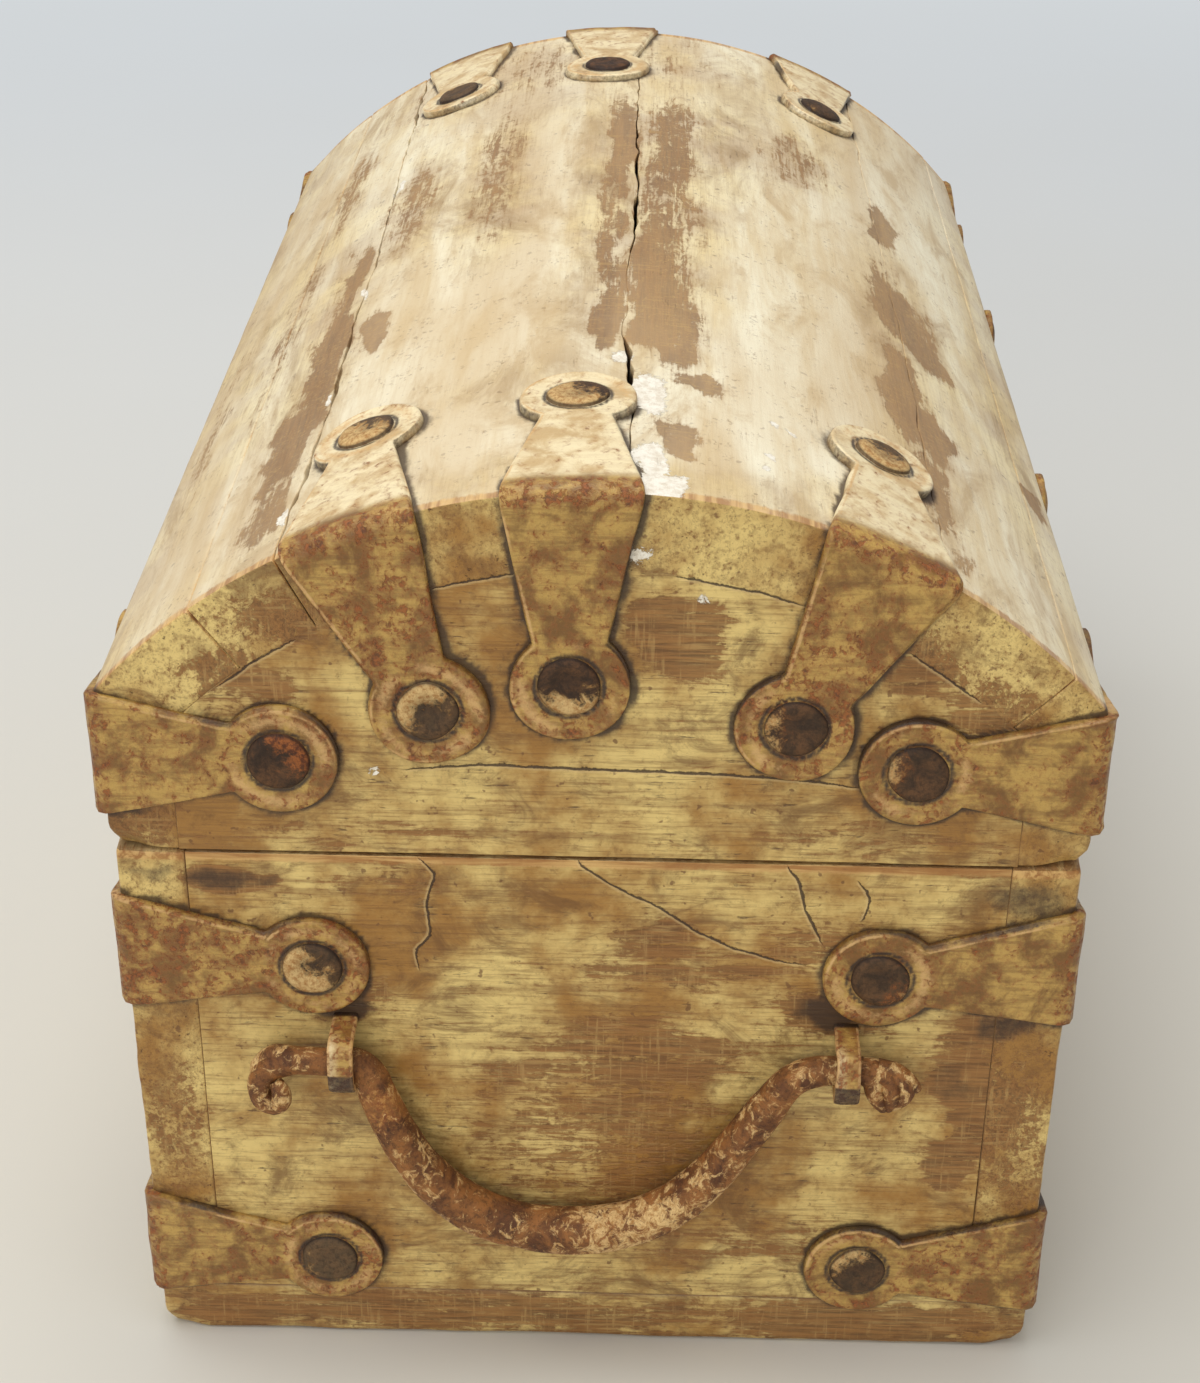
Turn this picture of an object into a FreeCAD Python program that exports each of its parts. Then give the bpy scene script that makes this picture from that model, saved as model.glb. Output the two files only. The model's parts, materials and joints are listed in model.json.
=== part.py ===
import FreeCAD, Part
import math
import os

from FreeCAD import Placement, Rotation, Vector

# A dome-topped wooden chest bound with iron straps: a nailed box, a lid of staves on two
# strap hinges, and a bail handle hanging on each end. X runs along the chest, the front
# faces -Y, Z is up, and the origin is under the middle of the bottom board.

# Driving dimensions, in millimetres and degrees
SIZES = {
    # box
    "chest_length": 332,
    "chest_width": 198,
    "box_height": 132,
    "board_thick": 15,
    "bottom_thick": 14,
    # lid
    "lid_gap": 0.5,
    "lid_overhang": 1,
    "rail_height": 36.5,
    "lid_rise": 45.5,
    "stave_thick": 16.5,
    "stave_split": 0.6,
    "front_cap_angle": 12,
    "back_cap_angle": 4.5,
    "first_joint_share": 0.183,
    "second_joint_share": 0.528,
    "third_joint_share": 0.891,
    # straps
    "strap_thick": 2,
    "strap_fold_width": 28,
    "strap_tip_width": 10.6,
    "eye_radius": 12,
    "box_strap_reach": 39.7,
    "box_eye_drop": 3,
    "upper_strap_drop": 24.5,
    "lower_strap_rise": 27,
    "lid_strap_reach": 36.5,
    "arch_end_reach": 41,
    "arch_top_reach": 43,
    "front_arch_angle": 21.5,
    "middle_arch_angle": 2.4,
    "back_arch_angle": 25,
    # nails
    "head_radius": 6.4,
    "head_crown_radius": 4.4,
    "head_height": 1.8,
    "shank_radius": 1.6,
    "nail_bite": 11,
    "bottom_nail_radius": 3.5,
    "bottom_nail_sink": 2,
    "bottom_nail_length": 34,
    "bottom_nail_inset": 32,
    # hinges
    "hinge_inset": 112,
    "hinge_width": 30,
    "knuckle_gap": 0.4,
    "knuckle_clear": 0.3,
    "pin_radius": 2,
    "pin_clear": 0.1,
    "pin_head_radius": 3.2,
    "pin_head_thick": 1.2,
    "hinge_eye_radius": 8.5,
    "lid_leaf_reach": 27.5,
    "box_leaf_reach": 40,
    # handles
    "staple_clear": 0.5,
    "staple_span": 106,
    "staple_width": 5.4,
    "staple_thick": 2,
    "staple_play": 1.5,
    "pin_seat_gap": 0.3,
    "clinch_length": 9,
    "grip_radius": 5.4,
    "grip_gap": 0.8,
    "bail_drop": 45.6,
    "bail_side_room": 5.8,
    "bail_lean": 22,
    "bail_slide": 2.6,
    "bend_radius": 3.9,
    "bail_pin_radius": 3.5,
    "curl_room": 11.2,
    "curl_radius": 4.2,
    "curl_tip_radius": 3,
    "curl_drop": 7,
}

# Lengths and angles that follow from the driving dimensions
WORKED = {
    "half_length": "dims.chest_length / 2",
    "half_width": "dims.chest_width / 2",
    "inner_width": "dims.chest_width - 2 * dims.board_thick",
    "lid_half_width": "half_width + dims.lid_overhang",
    "lid_inner_width": "2 * (lid_half_width - dims.board_thick)",
    "lid_bottom": "dims.box_height + dims.lid_gap",
    "spring_height": "lid_bottom + dims.rail_height",
    "lid_strap_height": "spring_height - dims.strap_fold_width / 2",
    "upper_strap_height": "dims.box_height - dims.upper_strap_drop",
    "arch_radius": "(lid_half_width ^ 2 + dims.lid_rise ^ 2) / (2 * dims.lid_rise)",
    "arch_inner_radius": "arch_radius - dims.stave_thick",
    "arch_height": "spring_height + dims.lid_rise - arch_radius",
    "spring_angle": "2 * atan(dims.lid_rise / lid_half_width) / 1 deg",
    "back_spring": "90 - spring_angle",
    "stave_start": "back_spring + dims.back_cap_angle",
    "stave_arc": "2 * spring_angle - dims.back_cap_angle - dims.front_cap_angle",
    "split_angle": "dims.stave_split / arch_radius * 180 / pi",
    "knuckle_radius": "dims.pin_radius + dims.pin_clear + dims.strap_thick",
    "knuckle_stand": "knuckle_radius + dims.knuckle_clear",
    "box_leaf_stand": "knuckle_stand + dims.lid_overhang",
    "knuckle_length": "dims.hinge_width / 3 - dims.knuckle_gap / 2",
    "leaf_start": "knuckle_radius + dims.knuckle_gap",
    "hinge_height": "dims.box_height + dims.lid_gap / 2",
    "pivot_stand": "dims.grip_radius + dims.grip_gap",
    "eye_inner_radius": "dims.bail_pin_radius + dims.staple_play",
    "eye_outer_radius": "eye_inner_radius + dims.staple_thick",
    "upper_eye_bottom": "upper_strap_height - dims.box_eye_drop - dims.eye_radius",
    "staple_height": "upper_eye_bottom - dims.staple_clear - eye_outer_radius",
    "handle_height": "staple_height - dims.staple_play + dims.pin_seat_gap",
    "bail_half_span": "(dims.staple_span - dims.staple_width) / 2 - dims.bail_side_room",
    "bail_pin_length": "dims.bail_side_room + dims.staple_width + dims.curl_room",
}

# Turns that lay a piece built along Z the way it goes
Z_TO_X = Rotation(Vector(0, 1, 0), 90)
Z_TO_Y = Rotation(Vector(1, 0, 0), -90)
Y_TO_Z = Rotation(Vector(1, 0, 0), 90)
Y_TO_MINUS_Z = Rotation(Vector(1, 0, 0), -90)
Y_TO_X = Rotation(Vector(0, 0, 1), -90)
ARCH_TURN = Rotation(Vector(1, 1, 1), 120)
RING_TURN = Rotation(Vector(-1, -1, -1), 120)
HALF_TURN = Rotation(Vector(0, 0, 1), 180)

ENDS = {"right": 1, "left": -1}
SIDES = {"back": 1, "front": -1}

doc = FreeCAD.newDocument("dome_chest")
nodes = []


def sheet(name, cells):
    """Spreadsheet with one aliased cell per entry."""
    table = doc.addObject("Spreadsheet::Sheet", name)
    for row, (alias, content) in enumerate(cells.items(), start=1):
        table.set(f"A{row}", alias)
        table.set(f"B{row}", content)
        table.setAlias(f"B{row}", alias)
    return table


dims = sheet("dims", {alias: str(value) for alias, value in SIZES.items()})
worked = sheet("worked", {alias: f"={formula}" for alias, formula in WORKED.items()})
doc.recompute()


def number(alias):
    """Value of a sheet cell as a plain number."""
    table = dims if alias in SIZES else worked
    return float(table.get(alias))


def add(kind, name, **bindings):
    """Document object with its sizes bound to the sheets."""
    obj = doc.addObject(kind, name)
    for size, expression in bindings.items():
        obj.setExpression(size, expression)
    return obj


def at(obj, x="0", y="0", z="0", turn=Rotation()):
    """Turn an object and bind its position to the sheets."""
    obj.Placement = Placement(Vector(), turn)
    for axis, expression in zip("xyz", (x, y, z)):
        obj.setExpression(f"Placement.Base.{axis}", expression)
    return obj


def fuse(name, *pieces):
    """One solid from pieces that overlap or meet."""
    whole = doc.addObject("Part::MultiFuse", name)
    whole.Shapes = list(pieces)
    whole.Refine = True
    return whole


def cut(name, base, tool):
    """What is left of base outside tool."""
    rest = doc.addObject("Part::Cut", name)
    rest.Base = base
    rest.Tool = tool
    return rest


def common(name, base, tool):
    """What base and tool share."""
    shared = doc.addObject("Part::Common", name)
    shared.Base = base
    shared.Tool = tool
    return shared


def group(name, pieces):
    """Several objects used as one."""
    whole = doc.addObject("Part::Compound", name)
    whole.Links = list(pieces)
    return whole


def node(obj, name):
    """Keep an object as a sub-part of the chest under its own name."""
    obj.Label = name
    nodes.append(obj)
    return obj


def box(name, length, width, height):
    """Box bound to three size expressions, before it is placed."""
    return add("Part::Box", name, Length=length, Width=width, Height=height)


def cylinder(name, radius, height, angle="360"):
    """Cylinder or pie slice along Z, before it is placed."""
    return add("Part::Cylinder", name, Radius=radius, Height=height, Angle=angle)


def taper(name, low, high, start, end, near_width, far_width, near_shift="0", far_shift="0"):
    """Flat strip along Y that changes width in Z; its thickness runs in X from low to high."""
    return add(
        "Part::Wedge", name,
        Xmin=low, Xmax=high, X2min=low, X2max=high, Ymin=start, Ymax=end,
        Zmin=f"{near_shift} - {near_width} / 2", Zmax=f"{near_shift} + {near_width} / 2",
        Z2min=f"{far_shift} - {far_width} / 2", Z2max=f"{far_shift} + {far_width} / 2",
    )


# Nails


def strap_nail():
    """Nail with a wide low head; its shank starts on the strap's outer face."""
    length = "dims.strap_thick + dims.nail_bite"
    head = add(
        "Part::Cone", "strap_nail_head",
        Radius1="dims.head_radius", Radius2="dims.head_crown_radius", Height="dims.head_height",
    )
    shank = at(cylinder("strap_nail_shank", "dims.shank_radius", length), z=f"-({length})")
    return fuse("strap_nail", head, shank)


def bottom_nail():
    """Nail with a sunk conical head that ends flush with the face it is driven into."""
    head = add(
        "Part::Cone", "bottom_nail_head",
        Radius1="dims.shank_radius", Radius2="dims.bottom_nail_radius", Height="dims.bottom_nail_sink",
    )
    shank = cylinder("bottom_nail_shank", "dims.shank_radius", "dims.bottom_nail_length")
    return fuse(
        "bottom_nail",
        at(head, z="-dims.bottom_nail_sink"),
        at(shank, z="-dims.bottom_nail_length"),
    )


def corner_places(half_width, reach, height):
    """Nail places in the eyes of the four corner straps at one height."""
    places = []
    for along in ENDS.values():
        for across in SIDES.values():
            end_x = along * (number("half_length") + number("strap_thick"))
            end_y = across * (half_width - reach)
            side_x = along * (number("half_length") - reach)
            side_y = across * (half_width + number("strap_thick"))
            places.append((Vector(end_x, end_y, height), Vector(along, 0, 0)))
            places.append((Vector(side_x, side_y, height), Vector(0, across, 0)))
    return places


def arch_places(angle):
    """Nail places in the eyes of the two arch straps that lean to the front by an angle."""
    outward = Rotation(Vector(1, 0, 0), angle).multVec(Vector(0, 0, 1))
    axis_height = Vector(0, 0, number("arch_height"))
    end_radius = number("arch_radius") - number("arch_end_reach")
    top_radius = number("arch_radius") + number("strap_thick")
    places = []
    for along in ENDS.values():
        end_x = along * (number("half_length") + number("strap_thick"))
        top_x = along * (number("half_length") - number("arch_top_reach"))
        places.append((axis_height + outward * end_radius + Vector(end_x, 0, 0), Vector(along, 0, 0)))
        places.append((axis_height + outward * top_radius + Vector(top_x, 0, 0), outward))
    return places


def hinge_places(half_width, reach):
    """Nail places in one eye of each hinge, at a reach above or below the pin."""
    hinge_x = number("half_length") - number("hinge_inset")
    face_y = half_width + number("strap_thick")
    height = number("hinge_height") + reach
    return [(Vector(along * hinge_x, face_y, height), Vector(0, 1, 0)) for along in ENDS.values()]


def bottom_places():
    """Nail places under the walls: four along each side board and one at each end board."""
    wall_y = number("half_width") - number("board_thick") / 2
    end_x = number("half_length") - number("board_thick") / 2
    far_x = number("half_length") - number("bottom_nail_inset")
    points = [Vector(along * end_x, 0, 0) for along in ENDS.values()]
    for across in SIDES.values():
        for x in (-far_x, -far_x / 3, far_x / 3, far_x):
            points.append(Vector(x, across * wall_y, 0))
    return [(point, Vector(0, 0, -1)) for point in points]


def nail_group(name, nail, places):
    """All nails of one kind on one body, as separate solids in one node."""
    solids = []
    for point, outward in places:
        solid = nail.Shape.Solids[0].copy()
        solid.Placement = Placement(point, Rotation(Vector(0, 0, 1), outward))
        solids.append(solid)
    nails = doc.addObject("Part::Feature", name)
    nails.Shape = Part.makeCompound(solids)
    return node(nails, name)


def make_nails():
    """The three groups of nails: in the box's iron, in the lid's iron and under the box."""
    wide = strap_nail()
    sunk = bottom_nail()
    doc.recompute()
    drop = number("box_eye_drop")
    box_side = number("half_width")
    box_reach = number("box_strap_reach")
    box_places = corner_places(box_side, box_reach, number("upper_strap_height") - drop)
    box_places += corner_places(box_side, box_reach, number("lower_strap_rise") - drop)
    box_places += hinge_places(box_side, -number("box_leaf_reach"))
    lid_side = number("lid_half_width")
    lid_places = corner_places(lid_side, number("lid_strap_reach"), number("lid_strap_height"))
    for angle in ("front_arch_angle", "middle_arch_angle"):
        lid_places += arch_places(number(angle))
    lid_places += arch_places(-number("back_arch_angle"))
    lid_places += hinge_places(lid_side, number("lid_leaf_reach"))
    return (
        nail_group("box_nails", wide, box_places),
        nail_group("lid_nails", wide, lid_places),
        nail_group("bottom_nails", sunk, bottom_places()),
    )


# Straps


def corner_strap(name, along, across, half_width, reach, height, drop, nails):
    """Strip folded round an upright corner, tapering on both faces to a nailed eye."""
    end_leg = taper(
        f"{name}_end_leg", "0", "dims.strap_thick", f"-{reach}", "0",
        "dims.strap_tip_width", "dims.strap_fold_width", near_shift=f"-{drop}",
    )
    side_leg = taper(
        f"{name}_side_leg", "0", "dims.strap_thick", f"-{reach}", "0",
        "dims.strap_tip_width", "dims.strap_fold_width", near_shift=f"-{drop}",
    )
    end_eye = cylinder(f"{name}_end_eye", "dims.eye_radius", "dims.strap_thick")
    side_eye = cylinder(f"{name}_side_eye", "dims.eye_radius", "dims.strap_thick")
    fold = cylinder(f"{name}_fold", "dims.strap_thick", "dims.strap_fold_width", "90")
    strip = fuse(
        f"{name}_strip",
        end_leg,
        at(side_leg, y="dims.strap_thick", turn=Y_TO_X),
        at(end_eye, y=f"-{reach}", z=f"-{drop}", turn=Z_TO_X),
        at(side_eye, x=f"-{reach}", z=f"-{drop}", turn=Z_TO_Y),
        at(fold, z="-dims.strap_fold_width / 2"),
    )
    corner_angle = math.degrees(math.atan2(across, along)) - 45
    at(
        strip, f"{along} * worked.half_length", f"{across} * {half_width}", height,
        Rotation(Vector(0, 0, 1), corner_angle),
    )
    return node(cut(name, strip, nails), name)


def arch_envelope():
    """Round-edged body that the arch straps' outer faces lie on, seen from an end of the lid."""
    reach = "dims.arch_top_reach + 2 * dims.eye_radius"
    blank = cylinder("arch_blank", "worked.arch_radius + dims.strap_thick", f"{reach} + dims.strap_thick")
    at(blank, x=f"-({reach})", turn=Z_TO_X)
    rounded = doc.addObject("Part::Fillet", "arch_envelope")
    rounded.Base = blank
    fold_round = number("strap_thick")
    rounded.Edges = [(1, fold_round, fold_round), (3, fold_round, fold_round)]
    core = at(cylinder("arch_core", "worked.arch_radius", reach), x=f"-({reach})", turn=Z_TO_X)
    return rounded, core


def arch_strap(name, along, side, angle, envelope, core, nails):
    """Strip folded over the lid's end edge, with a nailed eye on the end and one on the top."""
    root = "(worked.arch_radius - 2 * dims.strap_thick)"
    rise = "(worked.arch_radius + 2 * dims.strap_thick)"
    end_leg = taper(
        f"{name}_end_leg", "0", "dims.strap_thick",
        "worked.arch_radius - dims.arch_end_reach", rise,
        "dims.strap_tip_width", "dims.strap_fold_width",
    )
    top_leg = add(
        "Part::Wedge", f"{name}_top_leg",
        Ymin="-dims.arch_top_reach", Ymax="dims.strap_thick",
        Xmin="-dims.strap_tip_width / 2", Xmax="dims.strap_tip_width / 2",
        X2min="-dims.strap_fold_width / 2", X2max="dims.strap_fold_width / 2",
        Zmin=root, Zmax=rise, Z2min=root, Z2max=rise,
    )
    end_eye = cylinder(f"{name}_end_eye", "dims.eye_radius", "dims.strap_thick")
    top_eye = cylinder(f"{name}_top_eye", "dims.eye_radius", "4 * dims.strap_thick")
    legs = fuse(
        f"{name}_legs",
        at(end_leg, turn=Y_TO_Z),
        at(top_leg, turn=Y_TO_X),
        at(end_eye, z="worked.arch_radius - dims.arch_end_reach", turn=Z_TO_X),
        at(top_eye, x="-dims.arch_top_reach", z=root),
    )
    legs.Placement = Placement(Vector(), Rotation(Vector(along * side, 0, 0), number(angle)))
    legs.setExpression("Placement.Rotation.Angle", f"dims.{angle}")
    strip = cut(f"{name}_strip", common(f"{name}_bent", legs, envelope), core)
    turn = Rotation() if along > 0 else HALF_TURN
    at(strip, x=f"{along} * worked.half_length", z="worked.arch_height", turn=turn)
    return node(cut(name, strip, nails), name)


def make_straps(box_nails, lid_nails):
    """Corner straps in three rows and arch straps at both ends."""
    rows = {
        "upper_strap": (
            "worked.half_width", "dims.box_strap_reach", "worked.upper_strap_height",
            "dims.box_eye_drop", box_nails,
        ),
        "lower_strap": (
            "worked.half_width", "dims.box_strap_reach", "dims.lower_strap_rise",
            "dims.box_eye_drop", box_nails,
        ),
        "lid_strap": (
            "worked.lid_half_width", "dims.lid_strap_reach", "worked.lid_strap_height",
            "0", lid_nails,
        ),
    }
    for row, layout in rows.items():
        for end, along in ENDS.items():
            for side, across in SIDES.items():
                corner_strap(f"{row}_{side}_{end}", along, across, *layout)
    envelope, core = arch_envelope()
    arches = {
        "front": (1, "front_arch_angle"),
        "middle": (1, "middle_arch_angle"),
        "back": (-1, "back_arch_angle"),
    }
    for end, along in ENDS.items():
        for place, (side, angle) in arches.items():
            arch_strap(f"arch_strap_{place}_{end}", along, side, angle, envelope, core, lid_nails)


# Handles


def handle_staple(name, along, across):
    """Strip bent loosely round the bail's pin, driven through the end board and clinched inside."""
    width = "dims.staple_width"
    thick = "dims.staple_thick"
    inner = "worked.eye_inner_radius"
    leg_length = "worked.pivot_stand + dims.board_thick + dims.staple_thick"
    leg_start = "-dims.board_thick - dims.staple_thick"
    bow = cut(
        f"{name}_bow",
        at(cylinder(f"{name}_bow_blank", "worked.eye_outer_radius", width, "180"), turn=RING_TURN),
        at(cylinder(f"{name}_bow_hole", inner, width), turn=RING_TURN),
    )
    pieces = [at(bow, x="worked.pivot_stand", y=f"-{width} / 2")]
    for level, leg_z, clinch_z in (
        ("upper", inner, inner),
        ("lower", "-worked.eye_outer_radius", f"-{inner} - dims.clinch_length"),
    ):
        leg = box(f"{name}_{level}_leg", leg_length, width, thick)
        pieces.append(at(leg, leg_start, f"-{width} / 2", leg_z))
        clinch = box(f"{name}_{level}_clinch", thick, width, "dims.clinch_length")
        pieces.append(at(clinch, leg_start, f"-{width} / 2", clinch_z))
    staple = fuse(name, *pieces)
    turn = Rotation() if along > 0 else HALF_TURN
    at(
        staple, f"{along} * worked.half_length", f"{across} * dims.staple_span / 2",
        "worked.staple_height", turn,
    )
    return node(staple, name)


def bail_shape():
    """Forged bar about its pivot axis: round grip, tapering arms, pins and curled ends."""
    lean = math.radians(number("bail_lean"))
    half_span = number("bail_half_span")
    drop = number("bail_drop")
    grip = number("grip_radius")
    arc_radius = (half_span * math.cos(lean) - drop * math.sin(lean)) / (1 - math.sin(lean))
    centre = Vector(0, 0, arc_radius - drop)
    pieces = []
    for across in SIDES.values():
        bend = Vector(0, across * half_span, 0)
        meet = centre + Vector(0, across * math.cos(lean), -math.sin(lean)) * arc_radius
        arm = meet - bend
        end = bend + Vector(0, across * number("bail_pin_length"), 0)
        sideways = Vector(0, across, 0)
        down = Vector(0, 0, -1)
        pieces.append(Part.makeCone(number("bend_radius"), grip, arm.Length, bend, arm))
        pieces.append(Part.makeSphere(number("bend_radius"), bend))
        pieces.append(
            Part.makeCylinder(number("bail_pin_radius"), number("bail_pin_length"), bend, sideways))
        pieces.append(Part.makeSphere(number("curl_radius"), end))
        pieces.append(
            Part.makeCone(number("curl_radius"), number("curl_tip_radius"), number("curl_drop"), end, down))
    start = centre + Vector(0, -math.cos(lean), -math.sin(lean)) * arc_radius
    tangent = Vector(0, math.sin(lean), -math.cos(lean))
    section = Part.Face(Part.Wire(Part.makeCircle(grip, start, tangent)))
    pieces.append(section.revolve(centre, Vector(1, 0, 0), 180 - math.degrees(2 * lean)))
    return pieces[0].multiFuse(pieces[1:]).removeSplitter()


def make_handles():
    """A bail and its two staples on each end; each bail lies slid towards one staple."""
    staples = []
    for end, along in ENDS.items():
        for side, across in SIDES.items():
            staples.append(handle_staple(f"handle_staple_{side}_{end}", along, across))
        bail = doc.addObject("Part::Feature", f"bail_{end}")
        bail.Shape = bail_shape()
        at(
            bail, f"{along} * (worked.half_length + worked.pivot_stand)",
            f"{-along} * dims.bail_slide", "worked.handle_height",
            Rotation() if along > 0 else HALF_TURN,
        )
        node(bail, f"bail_{end}")
    return staples


# Hinges


def hinge_leaf(name, along, stand, reach, upward, knuckles, nails):
    """Plate on the back face that tapers to a nailed eye and rolls round the hinge pin."""
    length = "worked.knuckle_length"
    turn = Y_TO_Z if upward else Y_TO_MINUS_Z
    sign = 1 if upward else -1
    inner = f"{stand} - dims.strap_thick" if upward else f"-{stand}"
    outer = stand if upward else f"dims.strap_thick - {stand}"
    plate = add(
        "Part::Wedge", f"{name}_plate",
        Ymin="worked.leaf_start", Ymax=reach,
        Xmin="-dims.hinge_width / 2", Xmax="dims.hinge_width / 2",
        X2min="-dims.strap_tip_width / 2", X2max="dims.strap_tip_width / 2",
        Zmin=inner, Zmax=outer, Z2min=inner, Z2max=outer,
    )
    eye = cylinder(f"{name}_eye", "dims.hinge_eye_radius", "dims.strap_thick")
    pieces = [at(plate, turn=turn), at(eye, y=f"-{stand}", z=f"{sign} * {reach}", turn=Z_TO_Y)]
    for count, start in enumerate(knuckles, start=1):
        barrel = cylinder(f"{name}_knuckle_{count}", "worked.knuckle_radius", length)
        tab_thick = f"{stand} - worked.knuckle_stand + dims.strap_thick"
        tab = box(f"{name}_tab_{count}", length, tab_thick, "worked.leaf_start")
        pieces.append(at(barrel, x=start, turn=Z_TO_X))
        pieces.append(at(tab, start, f"-{stand}", "0" if upward else "-worked.leaf_start"))
    bore = cylinder(f"{name}_bore", "dims.pin_radius + dims.pin_clear", "2 * dims.hinge_width")
    leaf = cut(
        f"{name}_leaf",
        fuse(f"{name}_rolled", *pieces),
        at(bore, x="-dims.hinge_width", turn=Z_TO_X),
    )
    place_on_hinge(leaf, along)
    return node(cut(name, leaf, nails), name)


def hinge_pin(name, along):
    """Pin with a riveted head at each end."""
    pieces = [at(cylinder(f"{name}_shaft", "dims.pin_radius", "dims.hinge_width"),
                 x="-dims.hinge_width / 2", turn=Z_TO_X)]
    for count, start in enumerate(("-dims.hinge_width / 2 - dims.pin_head_thick", "dims.hinge_width / 2")):
        head = cylinder(f"{name}_head_{count}", "dims.pin_head_radius", "dims.pin_head_thick")
        pieces.append(at(head, x=start, turn=Z_TO_X))
    pin = fuse(name, *pieces)
    place_on_hinge(pin, along)
    return node(pin, name)


def place_on_hinge(obj, along):
    """Put a piece built about the hinge axis on one of the two hinges."""
    at(
        obj, f"{along} * (worked.half_length - dims.hinge_inset)",
        "worked.lid_half_width + worked.knuckle_stand", "worked.hinge_height",
    )


def make_hinges(box_nails, lid_nails):
    """Two strap hinges: one knuckle on the lid leaf between two on the box leaf."""
    middle = ["-worked.knuckle_length / 2"]
    outside = ["-dims.hinge_width / 2", "dims.hinge_width / 2 - worked.knuckle_length"]
    for end, along in ENDS.items():
        hinge_leaf(
            f"lid_hinge_leaf_{end}", along, "worked.knuckle_stand", "dims.lid_leaf_reach",
            True, middle, lid_nails,
        )
        hinge_leaf(
            f"box_hinge_leaf_{end}", along, "worked.box_leaf_stand", "dims.box_leaf_reach",
            False, outside, box_nails,
        )
        hinge_pin(f"hinge_pin_{end}", along)


# Wood


def make_box(iron):
    """Bottom board under four walls, the end boards held between the side boards."""
    wall_height = "dims.box_height - dims.bottom_thick"
    bottom = box("bottom_board_blank", "dims.chest_length", "dims.chest_width", "dims.bottom_thick")
    at(bottom, "-worked.half_length", "-worked.half_width")
    node(cut("bottom_board", bottom, iron), "bottom_board")
    side_y = {"back": "worked.half_width - dims.board_thick", "front": "-worked.half_width"}
    for side, y in side_y.items():
        wall = box(f"{side}_board_blank", "dims.chest_length", "dims.board_thick", wall_height)
        at(wall, "-worked.half_length", y, "dims.bottom_thick")
        node(cut(f"{side}_board", wall, iron), f"{side}_board")
    end_x = {"right": "worked.half_length - dims.board_thick", "left": "-worked.half_length"}
    for end, x in end_x.items():
        wall = box(f"{end}_end_board_blank", "dims.board_thick", "worked.inner_width", wall_height)
        at(wall, x, "-worked.inner_width / 2", "dims.bottom_thick")
        node(cut(f"{end}_end_board", wall, iron), f"{end}_end_board")


def arch_sector(name, start, sweep):
    """Pie slice of the lid's outer round, from an angle above the back horizontal."""
    slice_blank = cylinder(name, "worked.arch_radius", "dims.chest_length", sweep)
    slice_blank.Placement = Placement(Vector(), Rotation(Vector(0, 0, 1), 1))
    slice_blank.setExpression("Placement.Rotation.Angle", start)
    return slice_blank


def on_arch(obj):
    """Lay a piece built about the arch axis along the lid."""
    return at(obj, "-worked.half_length", z="worked.arch_height", turn=ARCH_TURN)


def make_lid(nails):
    """Four staves on two end panels, between rails that carry the foot of the arch."""
    hollow = cylinder("arch_hollow", "worked.arch_inner_radius", "dims.chest_length")
    joints = ("0", "dims.first_joint_share", "dims.second_joint_share", "dims.third_joint_share", "1")
    names = ("back_stave", "back_crown_stave", "front_crown_stave", "front_stave")
    for name, low, high in zip(names, joints, joints[1:]):
        start = f"worked.stave_start + worked.stave_arc * {low} + worked.split_angle / 2"
        sweep = f"worked.stave_arc * ({high} - {low}) - worked.split_angle"
        stave = on_arch(cut(f"{name}_blank", arch_sector(f"{name}_slice", start, sweep), hollow))
        node(cut(name, stave, nails), name)
    staves_slice = arch_sector("staves_slice", "worked.stave_start", "worked.stave_arc")
    stave_space = on_arch(group("stave_space", [staves_slice]))
    caps = {
        "back": ("worked.lid_inner_width / 2", "worked.back_spring", "dims.back_cap_angle"),
        "front": ("-worked.lid_half_width", "worked.stave_start + worked.stave_arc", "dims.front_cap_angle"),
    }
    for side, (y, start, sweep) in caps.items():
        foot = box(f"lid_{side}_rail_foot", "dims.chest_length", "dims.board_thick", "dims.rail_height")
        at(foot, "-worked.half_length", y, "worked.lid_bottom")
        cap = on_arch(cut(f"lid_{side}_rail_cap", arch_sector(f"{side}_cap_slice", start, sweep), hollow))
        rail = cut(f"lid_{side}_rail_blank", fuse(f"lid_{side}_rail_whole", foot, cap), stave_space)
        node(cut(f"lid_{side}_rail", rail, nails), f"lid_{side}_rail")
    panel_round = cylinder("panel_round", "worked.arch_inner_radius", "dims.chest_length")
    panel_top = on_arch(group("panel_top", [panel_round]))
    end_x = {"right": "worked.half_length - dims.board_thick", "left": "-worked.half_length"}
    for end, x in end_x.items():
        blank = box(
            f"lid_{end}_panel_blank", "dims.board_thick", "worked.lid_inner_width",
            "dims.rail_height + dims.lid_rise",
        )
        at(blank, x, "-worked.lid_inner_width / 2", "worked.lid_bottom")
        panel = common(f"lid_{end}_panel_round", blank, panel_top)
        node(cut(f"lid_{end}_panel", panel, nails), f"lid_{end}_panel")


def check():
    """Stop if any object failed or any sub-part is empty or broken."""
    for obj in doc.Objects:
        if {"Invalid", "Error"} & set(obj.State):
            raise RuntimeError(f"{obj.Name} failed: {obj.State}")
    for obj in nodes:
        if obj.Shape.isNull() or not obj.Shape.isValid() or not obj.Shape.Solids:
            raise RuntimeError(f"{obj.Label} has no sound solid")


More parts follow.
